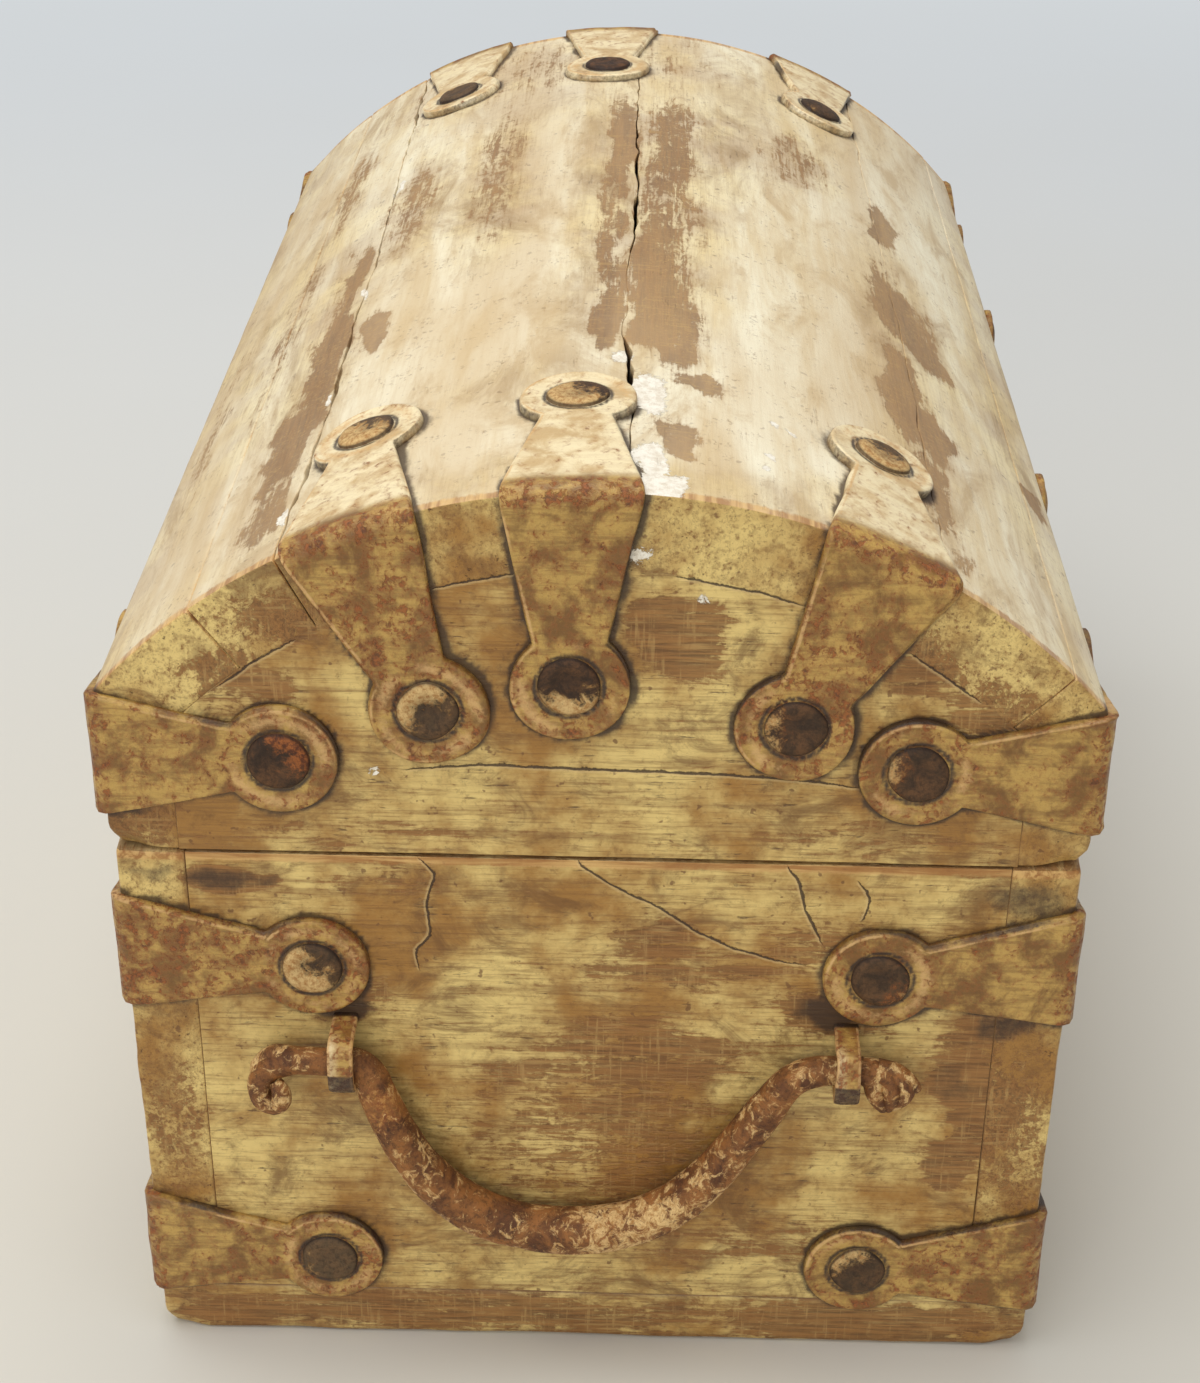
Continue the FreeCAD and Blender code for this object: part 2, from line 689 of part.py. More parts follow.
def main():
    box_nails, lid_nails, bottom_nails = make_nails()
    staples = make_handles()
    make_box(group("box_iron", [box_nails, bottom_nails, *staples]))
    make_lid(lid_nails)
    make_straps(box_nails, lid_nails)
    make_hinges(box_nails, lid_nails)
    doc.recompute()
    check()
    os.makedirs("parts", exist_ok=True)
    for obj in nodes:
        obj.Shape.exportStep(f"parts/{obj.Label}.step")
        print(f"{obj.Label}: {len(obj.Shape.Solids)} solids, {obj.Shape.Volume:.0f} cubic mm")


main()
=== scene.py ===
import json
import math
from types import SimpleNamespace

import bpy
import numpy as np
from mathutils import Matrix, Vector

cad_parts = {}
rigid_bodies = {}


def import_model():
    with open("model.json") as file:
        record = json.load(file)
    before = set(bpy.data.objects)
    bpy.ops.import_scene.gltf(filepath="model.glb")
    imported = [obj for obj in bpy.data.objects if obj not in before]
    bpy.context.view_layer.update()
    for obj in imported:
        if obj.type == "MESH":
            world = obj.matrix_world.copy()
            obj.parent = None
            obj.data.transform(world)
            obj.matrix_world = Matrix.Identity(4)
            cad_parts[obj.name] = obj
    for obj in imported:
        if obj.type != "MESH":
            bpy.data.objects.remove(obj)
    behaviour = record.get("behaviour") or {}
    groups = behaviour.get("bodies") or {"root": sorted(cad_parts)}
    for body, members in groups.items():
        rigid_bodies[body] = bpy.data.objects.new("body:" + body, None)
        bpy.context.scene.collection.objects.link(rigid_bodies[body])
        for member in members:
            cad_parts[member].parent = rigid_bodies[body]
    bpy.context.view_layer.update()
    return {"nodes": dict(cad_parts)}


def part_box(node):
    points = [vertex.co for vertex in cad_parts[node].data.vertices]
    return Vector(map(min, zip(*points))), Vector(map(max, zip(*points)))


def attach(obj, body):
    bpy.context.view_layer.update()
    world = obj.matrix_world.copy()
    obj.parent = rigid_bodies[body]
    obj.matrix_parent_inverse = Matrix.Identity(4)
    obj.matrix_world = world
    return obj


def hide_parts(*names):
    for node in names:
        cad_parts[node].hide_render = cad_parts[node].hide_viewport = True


# Start empty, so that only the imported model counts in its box
for leftover in list(bpy.data.objects):
    bpy.data.objects.remove(leftover)
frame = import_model()

MM = 0.001
LOW, HIGH = 0, 1
X, Y, Z = 0, 1, 2


def face(node, end, axis):
    """Place of a CAD node's lowest or highest face along an axis, in millimetres."""
    return round(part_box(node)[end][axis] / MM, 2)


# Old painted chest with a domed lid. Shapes are worked in millimetres in the chest's frame:
# X along the chest, front at -Y, Z up, origin under the middle of the bottom board.
ENDS = {"right": 1, "left": -1}
SIDES = {"back": 1, "front": -1}
HALF_LENGTH = face("bottom_board", HIGH, X)
BOX_HALF_WIDTH = face("bottom_board", HIGH, Y)
BOTTOM = face("bottom_board", HIGH, Z)
BOX_TOP = face("front_board", HIGH, Z)
BOARD = HALF_LENGTH - face("right_end_board", LOW, X)
LID_HALF_WIDTH = face("lid_back_rail", HIGH, Y)
LID_LOW = face("lid_back_rail", LOW, Z)
# How far a board runs under its neighbour's worn edge
LAP = 0.5
# Arch of the lid, from its spring line on the rails to its crown
SPRING_HEIGHT = 169.0
CROWN_HEIGHT = 214.5
STAVE = 16.5
RISE = CROWN_HEIGHT - SPRING_HEIGHT
ARCH_RADIUS = round((LID_HALF_WIDTH ** 2 + RISE ** 2) / (2 * RISE), 2)
ARCH_INNER = ARCH_RADIUS - STAVE
ARCH_HEIGHT = CROWN_HEIGHT - ARCH_RADIUS
# Staves from the back rail to the front one: angles in degrees, and the joints as parts of the arc
STAVE_LOW_ANGLE = 45.57
STAVE_ARC = 81.36
STAVE_JOINTS = (0.183, 0.528, 0.891)
# Straps: thickness, sink into the wood, half widths at the fold and the neck, eye, fold's radius
STRAP = 2.0
STRAP_SINK = 0.6
FOLD_HALF = 14.0
NECK_HALF = 5.3
EYE_RADIUS = 12.0
BEND = 1.6
# Nail heads: radius, height of the crown, and how deep the rim goes into the iron
NAIL_RADIUS = 6.3
NAIL_CROWN = 1.7
NAIL_SINK = 1.2
# Handles: the bail's stand-off from the end, and where the staples' eyes are
PIVOT_STAND = 6.2
STAPLE_HEIGHT = 85.0
STAPLE_SIDE = 53.0
# Steps along the bail's and the staples' middle lines
BAR_STEP = 0.8
STAPLE_STEP = 0.7
# Hinges: place along the chest, and heights of the nails in their leaves
HINGE_SIDE = 54.0
HINGE_NAILS = {"box": 92.25, "lid": 159.75}


# Random fields and small helpers


# Large numbers that scatter the values of neighbouring cells, and the highest value kept
HASH = (73856093, 19349663, 83492791)
HASH_SEED = 40503
HASH_STIR = 1274126177
HASH_TOP = 0xFFFFF


def value_noise(points, size, seed):
    """Smooth random field from -1 to 1 with lumps about `size` millimetres across."""
    cell = np.asarray(points, float) / size
    low = np.floor(cell).astype(np.int64)
    part = cell - low
    part = part * part * (3 - 2 * part)
    total = np.zeros(len(cell))
    for corner in np.ndindex(2, 2, 2):
        a, b, c = ((low + np.array(corner)) * np.array(HASH)).T
        mixed = a ^ b ^ c ^ seed * HASH_SEED
        mixed = (mixed ^ (mixed >> 13)) * HASH_STIR
        mixed = (mixed ^ (mixed >> 16)) & HASH_TOP
        weight = np.prod(np.where(np.array(corner) == 1, part, 1 - part), axis=1)
        total += weight * (2 * mixed / HASH_TOP - 1)
    return total


def rough_noise(points, size, seed, layers=3):
    """Several layers of value noise, each finer and weaker."""
    total = np.zeros(len(points))
    share = 1.0
    for layer in range(layers):
        total += share * value_noise(points, np.asarray(size) / 2 ** layer, seed + 17 * layer)
        share *= 0.5
    return total / (2 - 2 * share)


def line_noise(along, size, seed):
    """Random field along one direction."""
    flat = np.zeros((len(along), 3))
    flat[:, 0] = along
    return value_noise(flat, size, seed)


def smooth(low, high, value):
    """Step from 0 to 1 between two values, eased at both ends."""
    part = np.clip((value - low) / (high - low), 0, 1)
    return part * part * (3 - 2 * part)


def bell(value, width, power=2):
    """1 where the value is zero, falling off over `width` on both sides."""
    return np.exp(-np.abs(value / width) ** power)


def blobs(u, v, zones):
    """Strongest of several flat-topped oval patches (u, v, half width, half height, strength)."""
    best = np.zeros(len(u))
    for centre_u, centre_v, half_u, half_v, strength in zones:
        square = ((u - centre_u) / half_u) ** 2 + ((v - centre_v) / half_v) ** 2
        best = np.maximum(best, strength * bell(square, 1.0))
    return best


def crack_field(u, v, cracks, reach=2.6):
    """Signed distance to the nearest crack line, and the crack's half width there."""
    nearest = np.full(len(u), 1e3)
    signed = np.full(len(u), 10.0)
    width = np.zeros(len(u))
    for wide, line in cracks:
        for count, (start, end) in enumerate(zip(line[:-1], line[1:])):
            run = np.subtract(end, start)
            length = math.hypot(*run)
            along = np.clip(((u - start[0]) * run[0] + (v - start[1]) * run[1]) / length ** 2, 0, 1)
            du = u - start[0] - along * run[0]
            dv = v - start[1] - along * run[1]
            gap = np.hypot(du, dv)
            side = np.where(du * run[1] - dv * run[0] > 0, 1.0, -1.0)
            place = (count + along) / (len(line) - 1)
            taper = wide * np.minimum(1, 6 * np.minimum(place, 1 - place)) * (gap < reach)
            closer = gap < nearest
            nearest = np.where(closer, gap, nearest)
            signed = np.where(closer, gap * side, signed)
            width = np.where(closer, taper, width)
    return np.clip(signed, -10, 10), width


# Meshes


def block_shell(lines):
    """Points and four-sided faces of a block's surface on a grid of lines along its three edges."""
    count = [len(line) for line in lines]
    grid = np.stack(np.meshgrid(*lines, indexing="ij"), axis=-1)
    place = np.indices(count)
    outer = np.zeros(count, bool)
    for axis in range(3):
        outer |= (place[axis] == 0) | (place[axis] == count[axis] - 1)
    index = np.full(count, -1)
    index[outer] = np.arange(outer.sum())
    faces = []
    for axis in range(3):
        for end in (0, -1):
            side = np.take(index, end, axis)
            quads = np.stack([side[:-1, :-1], side[1:, :-1], side[1:, 1:], side[:-1, 1:]], axis=-1)
            quads = quads.reshape(-1, 4)
            if (end == 0) != (axis == 1):
                quads = quads[:, ::-1]
            faces.append(quads)
    return grid[outer], np.concatenate(faces)


def grid_lines(length, rounding, step):
    """Grid lines over an edge of a block: fine over the rounded ends, even between them."""
    edge = rounding * np.array([0, 0.3, 0.65, 1.0])
    count = max(2, int(round((length - 2 * rounding) / step)) + 1)
    middle = np.linspace(rounding, length - rounding, count)[1:-1]
    return np.concatenate([edge, middle, length - edge[::-1]])


def worn_block(size, step, rounding, seed, sag=0.35):
    """Block with unevenly worn edges and a slightly wavy surface, kept inside its own size.
    Returns points, faces, how near each point is to an edge, and its outward direction."""
    points, faces = block_shell([grid_lines(a, rounding, b) for a, b in zip(size, step)])
    radius = rounding * (0.62 + 0.38 * rough_noise(points, 14, seed))
    radius = np.clip(radius, 0.2 * rounding, rounding)[:, None]
    core = np.clip(points, radius, np.array(size) - radius)
    outward = points - core
    outward /= np.linalg.norm(outward, axis=1)[:, None]
    points = core + outward * radius
    arris = np.sort(np.abs(outward), axis=1)[:, 1] / 0.707
    depth = sag * (0.5 + 0.5 * rough_noise(points, 30, seed + 5))
    return points - outward * depth[:, None], faces, arris, outward


def ring_faces(rings, around):
    """Faces of a tube of rings: four-sided between rings, and a fan at each end round one more point.
    A fan's face repeats its last corner."""
    col = np.arange(around)
    after = (col + 1) % around
    row = np.arange(rings - 1)[:, None] * around
    quads = np.stack([row + col, row + after, row + around + after, row + around + col], axis=-1)
    last = (rings - 1) * around
    tip = np.full(around, rings * around)
    low = np.stack([after, col, tip, tip], axis=1)
    high = np.stack([last + col, last + after, tip + 1, tip + 1], axis=1)
    return np.vstack([quads.reshape(-1, 4), low, high])


def join(parts):
    """Several shapes, each of points, faces and paint, as one."""
    points, faces, paint = zip(*parts)
    starts = np.cumsum([0] + [len(part) for part in points[:-1]])
    faces = [quads + start for quads, start in zip(faces, starts)]
    return np.vstack(points), np.vstack(faces), np.vstack(paint)


def signed_volume(points, faces):
    """Volume inside a closed mesh, negative where its faces look inwards."""
    a, b, c, d = (points[faces[:, k]] for k in range(4))
    return np.einsum("ij,ij->i", a, np.cross(b, c) + np.cross(c, d)).sum() / 6


def add_piece(name, points, faces, body, slot, nodes, material, **attributes):
    """Mesh object from points in millimetres, riding on a body in place of its CAD nodes."""
    if signed_volume(points, faces) < 0:
        faces = faces[:, ::-1]
    mesh = bpy.data.meshes.new(name)
    # A fan's face loses its repeated corner
    corners = [list(dict.fromkeys(quad)) for quad in faces.tolist()]
    mesh.from_pydata((points * MM).tolist(), [], corners)
    for label, values in attributes.items():
        layer = mesh.color_attributes.new(label, "FLOAT_COLOR", "POINT")
        layer.data.foreach_set("color", np.asarray(values, np.float32).ravel())
    mesh.polygons.foreach_set("use_smooth", [True] * len(mesh.polygons))
    mesh.materials.append(material)
    piece = bpy.data.objects.new(name, mesh)
    bpy.context.scene.collection.objects.link(piece)
    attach(piece, body)
    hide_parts(*nodes)
    return piece


# Shader graphs


def srgb(red, green, blue):
    """Colour as seen on a screen, 0 to 255, turned to the linear values that shaders use."""
    def linear(value):
        part = value / 255
        return part / 12.92 if part <= 0.04045 else ((part + 0.055) / 1.055) ** 2.4
    return (linear(red), linear(green), linear(blue), 1.0)


class Graph:
    """Material whose nodes are wired by short calls. A tuple of three is a colour as seen on a screen."""

    def __init__(self, name):
        self.material = bpy.data.materials.new(name)
        self.material.use_nodes = True
        self.tree = self.material.node_tree
        self.shader = self.tree.nodes["Principled BSDF"]
        self.place = self.new("ShaderNodeTexCoord").outputs["Object"]

    def new(self, kind, **settings):
        node = self.tree.nodes.new(kind)
        for key, value in settings.items():
            setattr(node, key, value)
        return node

    def put(self, socket, value):
        """Link a socket to another one, or set it to a number or a colour."""
        if isinstance(value, bpy.types.NodeSocket):
            self.tree.links.new(value, socket)
        else:
            socket.default_value = srgb(*value) if isinstance(value, tuple) else value

    def attribute(self, name):
        """Separate channels of a painted attribute: red, green, blue, alpha."""
        node = self.new("ShaderNodeAttribute", attribute_name=name)
        parts = self.new("ShaderNodeSeparateColor")
        self.put(parts.inputs["Color"], node.outputs["Color"])
        return [*(parts.outputs[k] for k in ("Red", "Green", "Blue")), node.outputs["Alpha"]]

    def stretched(self, scale):
        """Object coordinates scaled along each axis, for grain."""
        node = self.new("ShaderNodeMapping")
        self.put(node.inputs["Vector"], self.place)
        node.inputs["Scale"].default_value = scale
        return node.outputs["Vector"]

    def noise(self, scale, detail=3.0, rough=0.55, place=None, warp=0.0):
        node = self.new("ShaderNodeTexNoise")
        self.put(node.inputs["Vector"], self.place if place is None else place)
        settings = {"Scale": scale, "Detail": detail, "Roughness": rough, "Distortion": warp}
        for key, value in settings.items():
            node.inputs[key].default_value = value
        return node.outputs["Fac"]

    def math(self, operation, *values):
        node = self.new("ShaderNodeMath", operation=operation)
        for socket, value in zip(node.inputs, values):
            self.put(socket, value)
        return node.outputs[0]

    def add(self, total, *others):
        for other in others:
            total = self.math("ADD", total, other)
        return total

    def times(self, product, *others):
        for other in others:
            product = self.math("MULTIPLY", product, other)
        return product

    def scaled(self, value, factor, offset=0.0):
        return self.math("MULTIPLY_ADD", value, factor, offset)

    def shaken(self, value, *fields):
        """Value roughened by noise fields, each with the range that it adds."""
        for field, amount in fields:
            value = self.add(value, self.scaled(field, amount, -amount / 2))
        return value

    def step(self, value, low, high):
        """Eased step from 0 to 1 between two values."""
        node = self.new("ShaderNodeMapRange", interpolation_type="SMOOTHSTEP")
        self.put(node.inputs["Value"], value)
        node.inputs["From Min"].default_value = low
        node.inputs["From Max"].default_value = high
        return node.outputs["Result"]

    def mix(self, factor, a, b):
        """Colour from a to b; a mix node's colour sockets come after those for numbers and vectors."""
        node = self.new("ShaderNodeMix", data_type="RGBA")
        for socket, value in ((0, factor), (6, a), (7, b)):
            self.put(node.inputs[socket], value)
        return node.outputs[2]

    def tones(self, field, low, high, a, b):
        """Two colours by a noise field: a below the step, b above it."""
        return self.mix(self.step(field, low, high), a, b)

    def coat(self, colour, cover, strength, top):
        """Colour with another one over it, as far as `cover` goes."""
        return self.mix(self.scaled(cover, strength), colour, top)

    def finish(self, colour, roughness, height, strength, distance):
        """Wire colour, roughness and relief to the shader."""
        bump = self.new("ShaderNodeBump")
        bump.inputs["Strength"].default_value = strength
        bump.inputs["Distance"].default_value = distance
        self.put(bump.inputs["Height"], height)
        self.put(self.shader.inputs["Base Color"], colour)
        self.put(self.shader.inputs["Roughness"], roughness)
        self.put(self.shader.inputs["Normal"], bump.outputs["Normal"])
        return self.material


# Materials


def wood_fields(g, grain):
    """Noise fields that the layers of painted wood share; grain is the stretch along each axis."""
    along = g.stretched(grain)
    short = g.stretched([min(1, 2.4 * k) for k in grain])
    ragged = g.stretched([min(1, 7 * k) for k in grain])
    return SimpleNamespace(
        streak=g.noise(460, 4, 0.6, along, 0.4),
        fibre=g.noise(1500, 4, 0.65, along, 0.2),
        dash=g.noise(1050, 3, 0.6, short),
        torn=g.noise(240, 3, 0.8, ragged, 1.2),
        cloud=g.noise(70, 5, 0.65, g.stretched((0.18, 1, 1)), 0.5),
        haze=g.noise(24, 3, 0.5, g.stretched((0.2, 1, 1)), 0.4),
        blotch=g.noise(30, 6, 0.65),
        smudge=g.noise(85, 6, 0.72, g.stretched((0.25, 0.6, 1)), 0.8),
        patch=g.noise(110, 5, 0.7, None, 0.5),
        grit=g.noise(520, 6, 0.75),
        flake=g.noise(520, 6, 0.8, None, 0.8),
        speck=g.noise(430, 2, 0.5),
        crumb=g.noise(700, 4, 0.7),
        upright=g.noise(1300, 2, 0.5, g.stretched((1, 1, 0.07))),
        level=g.noise(1300, 2, 0.5, g.stretched((1, 0.07, 1))),
    )


def wood_paint(g, f, cream, plain):
    """Ochre and cream paint, stained along the grain, and the dark dashes in it."""
    ochre = g.tones(f.blotch, 0.38, 0.62, (230, 202, 127), (164, 118, 52))
    pale = g.tones(f.cloud, 0.40, 0.70, (250, 242, 214), (226, 205, 163))
    pale = g.coat(pale, g.step(f.haze, 0.46, 0.64), 0.55, (208, 178, 130))
    paint = g.mix(cream, ochre, pale)
    stain = g.mix(cream, (108, 70, 28), (202, 173, 126))
    paint = g.coat(paint, g.step(f.smudge, 0.48, 0.68), 0.72, stain)
    grain = (f.streak, 0.48, 0.68, 0.32), (f.fibre, 0.50, 0.66, 0.40), (f.grit, 0.52, 0.70, 0.42)
    for field, low, high, amount in grain:
        paint = g.coat(paint, g.times(g.step(field, low, high), plain), amount, stain)
    patchy = g.step(f.patch, 0.46, 0.60)
    dashes = g.times(g.step(f.dash, 0.61, 0.70), patchy, plain)
    paint = g.coat(paint, dashes, 0.75, g.mix(cream, (74, 46, 24), (166, 134, 92)))
    paint = g.coat(paint, g.times(g.step(f.speck, 0.68, 0.74), plain), 0.7, (104, 64, 30))
    crumbs = g.times(g.step(f.crumb, 0.55, 0.66), patchy, cream)
    return g.coat(paint, crumbs, 0.55, (150, 118, 80)), dashes


def wood_wear(g, f, wear, cream, paint):
    """Thinned paint, and the wood where it is gone, with fine scratches both ways."""
    level = g.shaken(wear, (f.streak, 0.8), (f.fibre, 0.7), (f.grit, 0.7), (f.torn, 1.2))
    worn = g.step(level, 0.38, 0.60)
    brown = g.tones(f.fibre, 0.35, 0.65, (96, 60, 26), (158, 110, 56))
    brown = g.coat(brown, g.step(f.streak, 0.4, 0.65), 0.5, (138, 92, 44))
    grey = g.tones(f.cloud, 0.35, 0.65, (142, 112, 80), (180, 146, 104))
    scratches = g.math("MAXIMUM", g.step(f.upright, 0.53, 0.70), g.step(f.level, 0.53, 0.70))
    hatch = g.times(scratches, g.step(f.patch, 0.36, 0.54))
    wood = g.coat(g.mix(cream, brown, grey), hatch, 0.45, (196, 160, 98))
    thinned = g.mix(cream, (146, 102, 50), (188, 154, 108))
    colour = g.coat(paint, g.step(level, 0.12, 0.55), 0.42, thinned)
    return g.coat(colour, worn, 0.85, wood), worn


def wood_edges(g, f, colour, arris, dirt_and_shade, chip, bare):
    """Rubbed edges, grime with painted shadow along the straps, white flakes and the bare inside faces."""
    rubbed = g.step(g.shaken(arris, (f.grit, 1.0)), 0.30, 0.70)
    colour = g.coat(colour, rubbed, 0.75, g.tones(f.streak, 0.4, 0.6, (226, 182, 114), (168, 112, 56)))
    # Dark brown: grime, painted shadow along the straps, and the darker foot
    grime_and_shade = g.step(g.shaken(dirt_and_shade, (f.grit, 0.6)), 0.22, 0.80)
    colour = g.coat(colour, grime_and_shade, 0.88, (60, 42, 28))
    flaked = g.step(g.shaken(chip, (f.flake, 1.5)), 0.40, 0.48)
    colour = g.mix(flaked, colour, g.tones(f.grit, 0.4, 0.65, (252, 246, 230), (226, 214, 192)))
    raw = g.tones(f.streak, 0.3, 0.7, (108, 76, 46), (158, 122, 82))
    return g.mix(bare, colour, g.coat(raw, f.fibre, 0.6, (88, 60, 36))), flaked


def wood_cracks(g, f, colour, side, width):
    """Open cracks with a pale lip of paint on one side."""
    off = g.shaken(side, (f.patch, 1.0), (f.grit, 1.2))
    gap = g.math("SUBTRACT", g.math("ABSOLUTE", off), g.times(width, g.scaled(f.grit, 2.4, -0.2)))
    there = g.step(width, 0.0, 0.06)
    split = g.times(g.step(gap, 0.11, -0.08), there)
    lip = g.times(g.step(gap, 0.75, 0.2), g.step(off, 0.0, 0.3), there)
    colour = g.coat(colour, lip, 0.4, (226, 196, 138))
    return g.coat(colour, split, 0.88, (54, 35, 20)), split


def painted_wood(name, grain):
    """Cream and ochre paint over old wood: streaks along the grain, wear, dirt with painted shadow, chips and
    cracks.
    Attribute paint holds wear, dirt with painted shadow, cream and arris; marks holds chip, bare, crack side
    and width."""
    g = Graph(name)
    wear, dirt_and_shade, cream, arris = g.attribute("paint")
    chip, bare, side, width = g.attribute("marks")
    f = wood_fields(g, grain)
    plain = g.scaled(cream, -0.6, 1.0)
    paint, dashes = wood_paint(g, f, cream, plain)
    colour, worn = wood_wear(g, f, wear, cream, paint)
    colour, flaked = wood_edges(g, f, colour, arris, dirt_and_shade, chip, bare)
    colour, split = wood_cracks(g, f, colour, side, width)
    relief = g.times(g.add(g.scaled(f.streak, 0.35), g.scaled(f.fibre, 0.4)), plain)
    height = g.add(relief, g.scaled(f.grit, 0.3))
    for hollow, depth in ((worn, 0.3), (dashes, 0.5), (split, 1.6), (flaked, 0.4)):
        height = g.add(height, g.scaled(hollow, -depth))
    roughness = g.add(g.scaled(worn, 0.12, 0.42), g.scaled(f.grit, 0.3, -0.1))
    return g.finish(colour, roughness, height, 0.65, 0.0006)


def painted_iron(name):
    """Ochre paint on strap iron, rusting through in specks.
    Attribute paint holds a painted highlight on rims and eyes, dirt with painted shade, rust and paleness."""
    g = Graph(name)
    rim, dirt_and_shade, rust, pale = g.attribute("paint")
    patch = g.noise(120, 5, 0.65, None, 0.3)
    brushed = g.noise(620, 4, 0.65, g.stretched((1, 0.12, 1)))
    dot = g.noise(480, 5, 0.65, None, 0.4)
    grit = g.noise(900, 6, 0.75)
    plain = g.scaled(pale, -0.65, 1.0)
    ochre = g.tones(patch, 0.40, 0.62, (193, 156, 82), (124, 86, 36))
    cream = g.tones(patch, 0.40, 0.66, (246, 230, 188), (226, 198, 146))
    paint = g.mix(pale, ochre, cream)
    shade = g.mix(pale, (112, 76, 34), (198, 164, 112))
    for field, low, high in ((brushed, 0.46, 0.64), (grit, 0.50, 0.70)):
        paint = g.coat(paint, g.times(g.step(field, low, high), plain), 0.46, shade)
    paint = g.coat(paint, g.times(g.step(patch, 0.44, 0.66), pale), 0.6, shade)
    # Painted highlight on the straps' rims, the eyes' rims and the staples' edges
    lit = g.step(g.shaken(rim, (grit, 1.2)), 0.25, 0.75)
    paint = g.coat(paint, lit, 0.75, (220, 178, 118))
    level = g.shaken(rust, (dot, 1.5), (grit, 0.6))
    spots = g.step(level, 0.24, 0.42)
    colour = g.coat(paint, g.step(level, 0.04, 0.30), 0.35, (160, 98, 48))
    colour = g.coat(colour, spots, 0.85, g.tones(grit, 0.4, 0.6, (88, 46, 22), (158, 90, 40)))
    # Dirt and painted shade: strap outlines, round the nails, next to the wood and inside the staples' loops
    grime_and_shade = g.step(g.shaken(dirt_and_shade, (grit, 0.6)), 0.22, 0.70)
    colour = g.coat(colour, grime_and_shade, 0.9, (50, 36, 28))
    relief = g.add(g.scaled(brushed, 0.5), g.scaled(grit, 0.5))
    height = g.add(g.scaled(spots, -0.5), g.times(relief, plain))
    roughness = g.add(g.scaled(spots, 0.2, 0.36), g.scaled(grit, 0.3, -0.1))
    return g.finish(colour, roughness, height, 0.6, 0.0006)


def nail_iron(name):
    """Dark hammered iron with what is left of the paint, and rust.
    Attribute paint holds paint left, rust, painted shade in the groove and the dish, and tone."""
    g = Graph(name)
    left, rust, groove_shade, tone = g.attribute("paint")
    patch = g.noise(260, 6, 0.72, None, 0.6)
    grit = g.noise(900, 6, 0.75)
    iron = g.tones(patch, 0.35, 0.65, (46, 29, 18), (100, 66, 38))
    iron = g.coat(iron, tone, 0.6, (120, 98, 68))
    iron = g.coat(iron, g.step(grit, 0.45, 0.65), 0.55, (40, 27, 20))
    rusted = g.step(g.shaken(rust, (patch, 1.2), (grit, 0.7)), 0.30, 0.60)
    colour = g.coat(iron, rusted, 0.85, g.tones(grit, 0.4, 0.6, (92, 46, 24), (168, 98, 46)))
    cover = g.step(g.shaken(left, (patch, 1.1), (grit, 0.8)), 0.40, 0.60)
    colour = g.coat(colour, cover, 0.92, g.tones(grit, 0.38, 0.66, (222, 188, 128), (168, 120, 66)))
    # Painted shade in the groove round the head and in its dish
    colour = g.coat(colour, groove_shade, 0.85, (44, 31, 24))
    height = g.add(g.scaled(cover, 0.5), g.scaled(grit, 0.6))
    roughness = g.add(g.scaled(cover, 0.05, 0.5), g.scaled(grit, 0.3, -0.1))
    g.shader.inputs["Specular IOR Level"].default_value = 0.3
    return g.finish(colour, roughness, height, 0.65, 0.0006)


def forged_iron(name):
    """Brown forged bar: mottled scale, cream paint left in chips, rust and a painted highlight along the
    ridge.
    Attribute paint holds the ridge's painted highlight, chips, rust and painted shade."""
    g = Graph(name)
    ridge_highlight, chips, rust, shade = g.attribute("paint")
    patch = g.noise(140, 5, 0.65, None, 0.6)
    mottle = g.noise(360, 6, 0.72, None, 0.8)
    grit = g.noise(1000, 6, 0.75)
    iron = g.tones(patch, 0.36, 0.64, (92, 54, 28), (154, 100, 50))
    iron = g.coat(iron, g.step(grit, 0.46, 0.66), 0.6, (50, 32, 20))
    rusted = g.step(g.shaken(rust, (mottle, 1.4)), 0.30, 0.60)
    colour = g.coat(iron, rusted, 0.85, g.tones(grit, 0.4, 0.6, (134, 72, 36), (198, 140, 72)))
    flakes = g.step(g.shaken(chips, (mottle, 1.8), (grit, 0.8)), 0.34, 0.54)
    colour = g.coat(colour, flakes, 0.9, g.tones(grit, 0.4, 0.65, (236, 202, 140), (178, 128, 70)))
    # Painted highlight along the bar's upper ridge
    shine = g.step(g.shaken(ridge_highlight, (mottle, 1.2)), 0.45, 0.8)
    colour = g.coat(colour, shine, 0.5, (228, 190, 138))
    colour = g.coat(colour, shade, 0.85, (34, 24, 18))
    height = g.add(g.scaled(mottle, 0.9), g.scaled(grit, 0.5))
    roughness = g.add(g.scaled(grit, 0.3, 0.42), g.scaled(flakes, 0.08))
    g.shader.inputs["Specular IOR Level"].default_value = 0.35
    return g.finish(colour, roughness, height, 0.65, 0.0007)


# Straps: unrolled strips, s from the fold (positive on the end), w across, h off the wood


def strip_place(reach):
    """Distance along a bent strip of a point that lies `reach` from the sharp corner."""
    return reach - BEND + BEND * math.pi / 4


